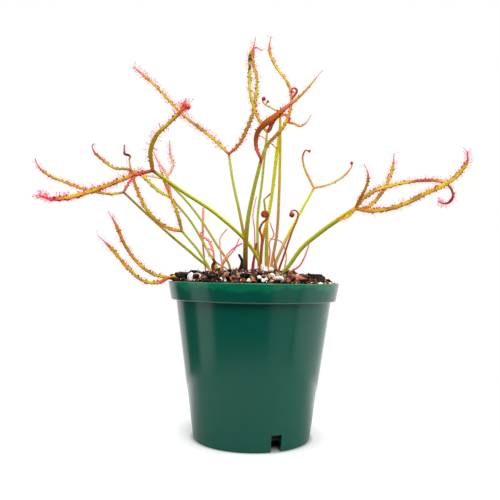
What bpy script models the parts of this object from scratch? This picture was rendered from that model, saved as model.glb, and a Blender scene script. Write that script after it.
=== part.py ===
"""Fork-leaved sundew in a plastic nursery pot, as separate solids.

The pot stands on z = 0 with its axis on Z, and the front of the plant looks along -Y. The pot is
filled with a domed potting mix. Each leaf is one solid: a stalk that comes up out of a pocket in
the mix and the arms that it forks into. Bark chips and perlite grains lie on the mix.
"""

import math
import random

import bmesh
import bpy
from mathutils import Euler, Vector

MM = 0.001
FIT_GAP = 0.3 * MM

# Pot
POT_HEIGHT = 90 * MM
RIM_TOP_RADIUS = 50 * MM
RIM_FOOT_RADIUS = 48 * MM
RIM_DEPTH = 10.4 * MM
BODY_TOP_RADIUS = 45.2 * MM
BASE_RADIUS = 33.8 * MM
WALL = 1.2 * MM
FLOOR_HEIGHT = 5 * MM
FLOOR_THICKNESS = 1.3 * MM
POT_STEPS = 24
NOTCH_WIDTH = 6 * MM
NOTCH_HEIGHT = 9.3 * MM
NOTCH_REACH = 4.5 * MM
NOTCH_COUNT = 3
FIRST_NOTCH_DEGREES = 22.5  # to the right of the front

# Potting mix: a dome that is highest over the pot's axis
MIX_TOP = 95.5 * MM
MIX_FALL = 4.5 * MM
MIX_RADIUS = 48 * MM
MIX_RINGS = 5
POCKET_DEPTH = 5 * MM
POCKET_SIDES = 8

# Leaves
SIX_SIDED = 1  # curve bevel resolution
SPAN_STEPS = 3
FOOT_TOP = 1 * MM  # where a stalk leaves its upright foot, above the mix

GREEN = (0.22, 0.27, 0.03)
OLIVE = (0.15, 0.13, 0.02)
GOLD = (0.55, 0.33, 0.03)
RUST = (0.30, 0.05, 0.02)
PINK = (0.62, 0.13, 0.10)
TAN = (0.50, 0.27, 0.11)
DEAD = (0.03, 0.02, 0.02)

# Each leaf: its colour, where its stalk comes up (x, y), the stalk's radius there and at the fork,
# the stalk's route up to the fork, and for each arm its radius, its tip's radius and its route
# onward from the fork. All in millimetres.
LEAVES = {
    "leaf_left_long": (GOLD, (5, -3), (1.1, 1.05), [
        (2, -4, 104), (-20, -13, 127), (-42, -21, 141), (-57, -25, 151)], [
        (1.05, 0.6, [(-58, -27, 162), (-55, -29, 169), (-47, -33, 176), (-39, -38, 182), (-36, -42, 183)]),
        (1.15, 0.4, [
            (-68, -25, 148), (-83, -24, 142), (-95, -23, 138), (-106, -22, 136), (-123, -20, 137)]),
    ]),
    "leaf_back_tall": (GOLD, (-5, 8), (0.8, 0.8), [
        (-6, 10, 115), (-9, 14, 131), (-14, 20, 153), (-17, 25, 171)], [
        (0.9, 0.35, [(-27, 28, 181), (-48, 32, 198), (-69, 36, 220), (-82, 38, 231)]),
        (1.0, 0.3, [
            (-11, 26, 177), (-6, 27, 187), (-1, 28, 203), (0, 29, 222), (-2, 30, 237), (-1, 30, 249)]),
    ]),
    "leaf_front_tall": (GOLD, (-5, -8), (1.4, 1.05), [
        (-5, -11, 111), (-4, -14, 125), (-1, -17, 142), (3, -20, 159)], [
        (1.3, 0.35, [(0, -22, 166), (0, -24, 171), (14, -31, 184), (24, -34, 192), (35, -36, 205)]),
        (1.0, 0.3, [
            (6, -18, 167), (16, -15, 180), (20, -12, 196), (19, -10, 204), (10, -8, 218),
            (7, -6, 228), (8, -5, 236)]),
    ]),
    "leaf_middle_hooked": (GOLD, (3, 7), (0.7, 0.7), [
        (2, 8, 115), (2, 10, 131), (4, 12, 149), (6, 14, 172), (7, 15, 183)], [
        (0.8, 0.3, [
            (0, 17, 195), (-4, 18, 209), (-4, 19, 226), (-4, 19, 234), (-1, 19, 237), (3, 19, 236)]),
    ]),
    "leaf_middle_short": (GREEN, (6, 2), (0.9, 0.85), [(5, 2, 112), (8, 3, 132), (13, 5, 172)], [
        (0.85, 0.5, [(7, 3, 175), (2, 2, 178)]),
        (0.85, 0.5, [(15, 7, 180), (15, 9, 191)]),
    ]),
    "leaf_middle_tall": (GREEN, (10, -5), (0.9, 0.85), [(13, -6, 118), (14, -7, 144), (14, -7, 189)], [
        (0.8, 0.45, [(6, -9, 193), (3, -9, 194), (2, -10, 196), (4, -10, 198), (5.5, -10, 196.5)]),
        (0.85, 0.3, [(18, -8, 187), (20, -9, 182), (26, -10, 181), (32, -11, 187)]),
    ]),
    "leaf_folded": (OLIVE, (8, 12), (0.9, 0.65), [(7, 13, 116), (7, 14, 125), (5, 16, 141)], [
        (0.6, 0.3, [(9, 17, 145), (13, 18, 151)]),
    ]),
    "leaf_right_upright": (GREEN, (12, 5), (0.85, 0.85), [(17, 8, 113), (25, 11, 129), (37, 15, 149)], [
        (0.8, 0.45, [(34, 16, 154), (30, 17, 164), (30, 17, 169), (33, 17, 172), (35, 16, 169)]),
        (0.8, 0.4, [(43, 15, 150), (50, 16, 153), (59, 17, 160), (61, 17, 165), (58, 16, 166)]),
    ]),
    "leaf_right_long": (GOLD, (16, -6), (1.1, 1.3), [(26, -8, 110), (38, -10, 120), (58, -14, 133)], [
        (1.2, 0.3, [(75, -12, 133), (99, -6, 143), (123, 2, 158), (128, 4, 166), (128, 5, 171)]),
        (1.0, 0.3, [
            (66, -10, 141), (75, -6, 146), (87, -2, 150), (113, 6, 153), (120, 9, 148),
            (119, 11, 142), (112, 13, 141)]),
        (0.9, 0.3, [(67, -20, 136), (71, -23, 142), (74, -25, 148), (76, -27, 163)]),
        (0.9, 0.3, [(62, -5, 141), (67, 2, 148), (68, 10, 164)]),
        (1.0, 0.45, [(54, -22, 129), (49, -30, 126), (45, -35, 124)]),
    ]),
    "leaf_left_bushy": (GREEN, (-26, 1), (0.75, 0.8), [(-32, 4, 106), (-44, 9, 120)], [
        (0.75, 0.3, [(-48, 10, 133), (-53, 11, 144), (-60, 12, 162)]),
        (0.8, 0.3, [
            (-56, 9, 123), (-65, 10, 131), (-70, 11, 141), (-77, 12, 157), (-78, 13, 166), (-81, 14, 172)]),
    ]),
    "leaf_left_wide": (GREEN, (-26, 7), (0.85, 0.85), [
        (-36, 10, 105), (-49, 14, 115), (-69, 19, 131), (-83, 22, 145)], [
        (0.9, 0.3, [(-92, 20, 143), (-107, 13, 145), (-122, 6, 151), (-129, 3, 155), (-132, 1, 162)]),
        (0.8, 0.5, [(-81, 30, 155), (-81, 35, 160)]),
    ]),
    "leaf_left_yellow": (GREEN, (-22, 13), (0.8, 0.8), [(-30, 16, 111), (-40, 20, 127), (-53, 24, 142)], [
        (0.85, 0.35, [(-62, 24, 146), (-74, 23, 155), (-88, 22, 160), (-100, 21, 167), (-103, 20, 175)]),
        (0.65, 0.3, [(-57, 29, 157), (-64, 33, 168), (-67, 35, 174)]),
    ]),
    "leaf_left_inner": (GREEN, (-14, 7), (0.75, 0.75), [(-24, 10, 113), (-40, 15, 135), (-56, 18, 153)], [
        (0.7, 0.3, [(-61, 18, 154), (-67, 18, 155), (-72, 18, 156)]),
        (0.65, 0.3, [(-52, 21, 163), (-54, 23, 169), (-55, 25, 179)]),
    ]),
    "leaf_over_rim": (GOLD, (-34, -9), (0.85, 0.95), [
        (-37, -10, 94.6), (-42, -13, 93.2), (-48, -16, 91.8)], [
        (0.95, 0.35, [(-57, -18, 94), (-65, -20, 100), (-71, -22, 108), (-78, -24, 123), (-81, -25, 128)]),
        (0.9, 0.35, [(-54, -21, 89), (-61, -24, 90), (-68, -27, 96), (-78, -31, 108), (-84, -34, 114)]),
    ]),
    "fiddlehead_left": (RUST, (3, -13), (0.65, 0.75), [
        (4, -13, 108), (3, -13, 118), (4, -13, 123), (7, -14, 127), (7, -14, 130), (5, -14, 131),
        (3, -14, 130)], []),
    "fiddlehead_right": (RUST, (14, -13), (0.65, 0.85), [
        (17, -14, 106), (22, -16, 125), (24, -16, 129), (22, -16, 132), (19, -16, 130),
        (20, -16, 128)], []),
    "young_leaf_pink": (PINK, (-23, -3), (0.6, 0.6), [(-24, -3, 108)], [
        (0.55, 0.3, [(-27, -2, 114), (-32, -1, 118), (-30, 0, 120)]),
        (0.5, 0.3, [(-27, -6, 109), (-26, -8, 104)]),
    ]),
    "young_leaf_left": (GREEN, (-18, -8), (0.6, 0.3), [(-20, -7, 111), (-20, -6, 115), (-16, -5, 121)], []),
    "young_leaf_bent": (TAN, (-20, 4), (0.6, 0.3), [(-16, 4, 104), (-12, 5, 109), (-9, 6, 116)], []),
    "young_leaf_red": (RUST, (-19, -13), (0.6, 0.35), [
        (-17, -14, 103), (-12, -14, 109), (-7, -14, 112)], []),
    "young_leaf_far": (PINK, (-30, 20), (0.6, 0.3), [(-31, 21, 112), (-32, 21, 124), (-32, 22, 136)], []),
    "young_leaf_hooked": (TAN, (8, -11), (0.6, 0.3), [(9, -10, 108), (11, -10, 117), (9, -11, 125)], []),
    "young_leaf_pale": (TAN, (18, 1), (0.6, 0.3), [(19, 1, 107), (16, 0, 114), (9, -1, 116)], []),
    "young_leaf_right": (PINK, (20, -12), (0.6, 0.3), [(26, -14, 100), (29, -15, 106), (31, -15, 112)], []),
    "young_leaf_back": (TAN, (0, 15), (0.6, 0.3), [(0, 16, 123), (-1, 17, 131), (1, 18, 143)], []),
    "stalk_red": (RUST, (1, 2), (0.8, 0.6), [(2, 2, 104), (3, 2, 112)], []),
    "stalk_tan": (TAN, (14, 1), (0.7, 0.5), [(12, 0, 104), (12, -1, 111)], []),
    "stalk_dead": (DEAD, (-8, -1), (1.1, 0.6), [(-7, -1, 102), (-9, 0, 106)], []),
    "stalk_dead_left": (DEAD, (-23, -11), (1.3, 0.7), [(-23, -11, 100), (-24, -11, 103)], []),
}

# Each bark chip: where it lies (x, y), its length, width and height, all in millimetres, and its
# turn about the vertical in degrees.
BARK_CHIPS = [
    (-41, -20, 7.5, 5, 4.5, 10), (-37, -27, 4.5, 4, 4.0, 60), (-31, -34, 5.5, 3.5, 3.5, 130),
    (-22, -39, 5, 4, 3, 20), (-14, -43, 6, 3, 2.5, 75), (-5, -40, 7, 3.5, 3, 160), (3, -33, 5, 3, 3, 35),
    (20, -41, 6, 3.5, 3, 100), (27, -34, 8, 4.5, 4, 170), (36, -25, 8, 5.5, 5, 25), (42, -12, 5, 4, 3, 80),
    (30, 22, 8, 5, 4, 50), (5, 36, 7, 5, 4, 120), (-28, 33, 8, 4.5, 4, 15),
]
PERLITE_GRAINS = [
    (-34, -29, 3.8, 3.6, 3.6, 20), (6, -19, 4.8, 4, 3.8, 40), (9, -38, 4.5, 3.5, 2.8, 10),
    (13, -44, 6, 3.5, 2.6, 5), (2.5, -44.5, 3.4, 3, 2.4, 70), (-24, -24, 3.4, 3, 2.2, 30),
    (-11, -27, 3, 2.6, 2.2, 50), (36, 6, 4, 3.4, 3, 15), (-10, 30, 4, 3.6, 3, 80),
]


def clear_scene():
    for obj in list(bpy.data.objects):
        bpy.data.objects.remove(obj)


def material(name, colour, roughness):
    made = bpy.data.materials.new(name)
    made.use_nodes = True
    shader = made.node_tree.nodes["Principled BSDF"]
    shader.inputs["Base Color"].default_value = (*colour, 1)
    shader.inputs["Roughness"].default_value = roughness
    shader.inputs["Metallic"].default_value = 0
    return made


def add_object(name, mesh, colour, roughness, smooth_degrees=40):
    mesh.materials.clear()
    mesh.materials.append(material(name + "_material", colour, roughness))
    mesh.shade_smooth()
    mesh.set_sharp_from_angle(angle=math.radians(smooth_degrees))
    obj = bpy.data.objects.new(name, mesh)
    bpy.context.collection.objects.link(obj)
    return obj


def mesh_from(builder, name):
    mesh = bpy.data.meshes.new(name)
    builder.normal_update()
    builder.to_mesh(mesh)
    builder.free()
    return mesh


def combine(obj, other_mesh, operation):
    """Applies one exact Boolean of obj with a mesh that is then thrown away."""
    helper = bpy.data.objects.new("helper", other_mesh)
    bpy.context.collection.objects.link(helper)
    boolean = obj.modifiers.new(operation.lower(), "BOOLEAN")
    boolean.operation = operation
    boolean.solver = "EXACT"
    boolean.object = helper
    graph = bpy.context.evaluated_depsgraph_get()
    result = bpy.data.meshes.new_from_object(obj.evaluated_get(graph))
    obj.modifiers.remove(boolean)
    obj.data = result
    bpy.data.objects.remove(helper)


def mix_height(x, y):
    return MIX_TOP - MIX_FALL * (x * x + y * y) / MIX_RADIUS**2


def turned(name, profile, steps):
    """A closed profile of (radius, height) spun round Z. Points on the axis become poles."""
    builder = bmesh.new()
    points = [builder.verts.new((radius, 0, height)) for radius, height in profile]
    edges = [builder.edges.new(pair) for pair in zip(points, points[1:] + points[:1])]
    bmesh.ops.spin(
        builder, geom=points + edges, cent=(0, 0, 0), axis=(0, 0, 1), angle=2 * math.pi, steps=steps,
        use_merge=True,
    )
    bmesh.ops.remove_doubles(builder, verts=builder.verts, dist=0.01 * MM)
    bmesh.ops.recalc_face_normals(builder, faces=builder.faces)
    return mesh_from(builder, name)


def body_radius(height):
    """Outer radius of the pot's tapered body."""
    top = POT_HEIGHT - RIM_DEPTH
    return BASE_RADIUS + (BODY_TOP_RADIUS - BASE_RADIUS) * height / top


def make_pot():
    step = POT_HEIGHT - RIM_DEPTH
    floor_top = FLOOR_HEIGHT + FLOOR_THICKNESS
    profile = [
        (RIM_TOP_RADIUS, POT_HEIGHT),
        (RIM_FOOT_RADIUS, step),
        (BODY_TOP_RADIUS, step),
        (BASE_RADIUS, 0),
        (BASE_RADIUS - WALL, 0),
        (body_radius(FLOOR_HEIGHT) - WALL, FLOOR_HEIGHT),
        (0, FLOOR_HEIGHT),
        (0, floor_top),
        (body_radius(floor_top) - WALL, floor_top),
        (body_radius(step) - WALL, step - WALL),
        (RIM_FOOT_RADIUS - WALL, step + WALL),
        (RIM_TOP_RADIUS - WALL, POT_HEIGHT),
    ]
    pot = add_object("pot", turned("pot", profile, POT_STEPS), (0.004, 0.065, 0.040), 0.28)
    for number in range(NOTCH_COUNT):
        combine(pot, notch_cutter(number), "DIFFERENCE")
    return pot


def notch_cutter(number):
    """A box through the foot of the wall, for one drainage notch."""
    turn = math.radians(FIRST_NOTCH_DEGREES + number * 360 / NOTCH_COUNT)
    below = 1 * MM
    length = NOTCH_REACH * 2
    builder = bmesh.new()
    bmesh.ops.create_cube(builder, size=1)
    for point in builder.verts:
        point.co.x *= NOTCH_WIDTH
        point.co.y = point.co.y * length - BASE_RADIUS
        point.co.z = (point.co.z + 0.5) * (NOTCH_HEIGHT + below) - below
    bmesh.ops.rotate(
        builder, verts=builder.verts, cent=(0, 0, 0), matrix=Euler((0, 0, turn)).to_matrix()
    )
    return mesh_from(builder, "notch")


def make_mix(crowns):
    """The potting mix: it follows the pot's inner wall at FIT_GAP, with a pocket for each stalk."""
    step = POT_HEIGHT - RIM_DEPTH
    inset = WALL + FIT_GAP
    floor_top = FLOOR_HEIGHT + FLOOR_THICKNESS + FIT_GAP
    edge = RIM_TOP_RADIUS - inset - 0.2 * MM
    profile = [(0, floor_top), (body_radius(floor_top) - inset, floor_top)]
    profile += [(body_radius(step) - inset, step - WALL - FIT_GAP), (RIM_FOOT_RADIUS - inset, step + WALL)]
    for ring in range(MIX_RINGS + 1):
        radius = edge * (1 - ring / MIX_RINGS)
        profile.append((radius, mix_height(radius, 0)))
    mix = add_object("potting_mix", turned("potting_mix", profile, POT_STEPS), (0.045, 0.022, 0.014), 0.95)
    for (x, y), radius in crowns:
        combine(mix, pocket_cutter(x, y, radius), "DIFFERENCE")
    return mix


def pocket_cutter(x, y, radius):
    """A prism that leaves FIT_GAP round a stalk and under its end."""
    bottom = mix_height(x, y) - POCKET_DEPTH - FIT_GAP
    top = MIX_TOP + 2 * MM
    around = (radius + FIT_GAP) / math.cos(math.pi / POCKET_SIDES)
    builder = bmesh.new()
    bmesh.ops.create_cone(
        builder, cap_ends=True, segments=POCKET_SIDES, radius1=around, radius2=around, depth=top - bottom
    )
    bmesh.ops.translate(builder, verts=builder.verts, vec=(x, y, (top + bottom) / 2))
    return mesh_from(builder, "pocket")


def tube(name, route, radii, straight_points=0):
    """A closed tube along a smooth curve through the route, straight up to one of its points.
    Each route point has its own radius."""
    curve = bpy.data.curves.new(name, "CURVE")
    curve.dimensions = "3D"
    curve.bevel_depth = 1.0
    curve.bevel_resolution = SIX_SIDED
    curve.use_fill_caps = True
    curve.resolution_u = SPAN_STEPS
    spline = curve.splines.new("BEZIER")
    spline.bezier_points.add(len(route) - 1)
    for point, place, radius in zip(spline.bezier_points, route, radii):
        point.co = place
        point.radius = radius
        point.handle_left_type = point.handle_right_type = "AUTO"
    for point in spline.bezier_points[:straight_points]:
        point.handle_left_type = "VECTOR"
    for point in spline.bezier_points[: straight_points - 1]:
        point.handle_right_type = "VECTOR"
    holder = bpy.data.objects.new(name, curve)
    bpy.context.collection.objects.link(holder)
    graph = bpy.context.evaluated_depsgraph_get()
    mesh = bpy.data.meshes.new_from_object(holder.evaluated_get(graph))
    bpy.data.objects.remove(holder)
    builder = bmesh.new()
    builder.from_mesh(mesh)
    bmesh.ops.remove_doubles(builder, verts=builder.verts, dist=0.01 * MM)
    bmesh.ops.recalc_face_normals(builder, faces=builder.faces)
    return mesh_from(builder, name)


def tapered(start, end, count):
    """Radii that stay near the first one and then draw in to the last one."""
    return [end + (start - end) * (1 - (step / (count - 1)) ** 3) for step in range(count)]


def in_metres(points):
    return [Vector(point) * MM for point in points]


def make_leaf(name, colour, crown, stalk_radii, stalk, arms):
    x, y = crown[0] * MM, crown[1] * MM
    top = mix_height(x, y)
    foot = [Vector((x, y, top - POCKET_DEPTH)), Vector((x, y, top + FOOT_TOP))]
    route = foot + in_metres(stalk)
    first, last = stalk_radii[0] * MM, stalk_radii[1] * MM
    if arms:
        radii = [first + (last - first) * step / (len(route) - 1) for step in range(len(route))]
        main_arm = in_metres(arms[0][2])
        arm_radii = tapered(arms[0][0] * MM, arms[0][1] * MM, len(main_arm) + 1)
        mesh = tube(name, route + main_arm, radii + arm_radii[1:], len(foot))
    else:
        mesh = tube(name, route, tapered(first, last, len(route)), len(foot))
    leaf = add_object(name, mesh, colour, 0.45)
    for start, tip, arm in arms[1:]:
        fork = route[-1]
        branch = [fork] + in_metres(arm)
        combine(leaf, tube(name, branch, tapered(start * MM, tip * MM, len(branch))), "UNION")
    return leaf


def chunk(name, seed, place, colour, roughness, squareness):
    """An irregular lump that lies FIT_GAP above the mix."""
    x, y, length, width, height, turn = place
    draw = random.Random(seed)
    builder = bmesh.new()
    bmesh.ops.create_icosphere(builder, subdivisions=1, radius=1)
    spin = Euler((0, 0, math.radians(turn))).to_matrix()
    for point in builder.verts:
        rounded = point.co.normalized()
        boxed = rounded / max(abs(part) for part in rounded)
        shape = rounded.lerp(boxed, squareness) * draw.uniform(0.8, 1.0)
        point.co = spin @ Vector((shape.x * length, shape.y * width, shape.z * height)) * (MM / 2)
    for point in builder.verts:
        point.co += Vector((x, y, 0)) * MM
    gap = min(point.co.z - mix_height(point.co.x, point.co.y) for point in builder.verts)
    bmesh.ops.translate(builder, verts=builder.verts, vec=(0, 0, FIT_GAP - gap))
    hull = bmesh.ops.convex_hull(builder, input=builder.verts)
    bmesh.ops.delete(builder, geom=hull["geom_interior"] + hull["geom_unused"], context="VERTS")
    bmesh.ops.recalc_face_normals(builder, faces=builder.faces)
    return add_object(name, mesh_from(builder, name), colour, roughness, 20)


def main():
    clear_scene()
    make_pot()
    crowns = [((crown[0] * MM, crown[1] * MM), radii[0] * MM) for _, crown, radii, _, _ in LEAVES.values()]
    make_mix(crowns)
    for name, (colour, crown, radii, stalk, arms) in LEAVES.items():
        make_leaf(name, colour, crown, radii, stalk, arms)
    for number, place in enumerate(BARK_CHIPS, 1):
        chunk(f"bark_chip_{number:02d}", number, place, (0.060, 0.026, 0.016), 0.9, 0.5)
    for number, place in enumerate(PERLITE_GRAINS, 1):
        chunk(f"perlite_grain_{number:02d}", 100 + number, place, (0.80, 0.78, 0.72), 0.8, 0.35)


main()
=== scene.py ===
"""A fork-leaved sundew in its nursery pot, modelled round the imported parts.

Sizes are in metres unless a name or comment says millimetres. The front of the plant looks along -Y,
and the pot stands on z = 0 with its axis on Z.
"""

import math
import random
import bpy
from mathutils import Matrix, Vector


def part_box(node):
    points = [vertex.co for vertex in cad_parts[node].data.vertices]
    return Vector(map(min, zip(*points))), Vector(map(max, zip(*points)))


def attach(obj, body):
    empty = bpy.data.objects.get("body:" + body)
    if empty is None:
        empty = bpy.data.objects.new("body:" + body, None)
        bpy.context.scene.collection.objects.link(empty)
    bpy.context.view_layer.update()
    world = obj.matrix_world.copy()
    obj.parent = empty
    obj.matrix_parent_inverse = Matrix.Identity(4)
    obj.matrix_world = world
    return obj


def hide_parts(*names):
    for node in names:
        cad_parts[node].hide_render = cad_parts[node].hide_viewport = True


bl_info = {
    "name": "Potted Sundew",
    "version": (1, 0, 0),
    "blender": (4, 5, 0),
    "location": "View3D > Sidebar > Sundew",
    "description": "Builds a fork-leaved sundew with its pot, mix, leaves and gland hairs",
    "category": "Object",
}

from collections import namedtuple
from contextlib import contextmanager

import bpy
import numpy as np
from bpy.props import FloatProperty, FloatVectorProperty, IntProperty, PointerProperty
from mathutils import Euler, Matrix, Vector, kdtree

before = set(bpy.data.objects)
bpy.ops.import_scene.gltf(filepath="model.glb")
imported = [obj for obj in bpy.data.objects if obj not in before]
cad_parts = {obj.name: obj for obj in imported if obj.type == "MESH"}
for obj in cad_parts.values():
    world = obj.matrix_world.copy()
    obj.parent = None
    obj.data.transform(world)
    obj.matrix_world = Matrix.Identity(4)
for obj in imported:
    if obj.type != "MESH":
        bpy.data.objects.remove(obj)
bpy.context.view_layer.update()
MM = 0.001
WHOLE_TURN = 2 * math.pi

_, POT_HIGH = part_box("pot")
MIX_LOW, MIX_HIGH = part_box("potting_mix")
HAIR_MAP = "OFBake"  # u runs from a hair's foot to its gland, and v holds its tint

# -------------------- leaf routes

# Everything here is in millimetres. An arm has its radius (or a row of them along the way), its tip's
# radius, its colours along the way, how many hairs it has to the millimetre, their length, and its
# route onward from the fork, or from a start of its own. A curl may follow the route: its radius at
# the start and at the end, its number of turns and its hand. A knob of some radius, in the last
# colour, may end it.
Arm = namedtuple(
    "Arm", "radius tip colours hairs hair_length route curl start knob", defaults=(None, None, 0)
)

# A leaf has the place where it comes up, its stalk's radius there and at the fork, the stalk's colours
# along the way, of which the last also begins each arm from the fork, the stalk's route and its arms.
Leaf = namedtuple("Leaf", "crown radii colours stalk arms curl knob", defaults=((), None, 0))

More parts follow.
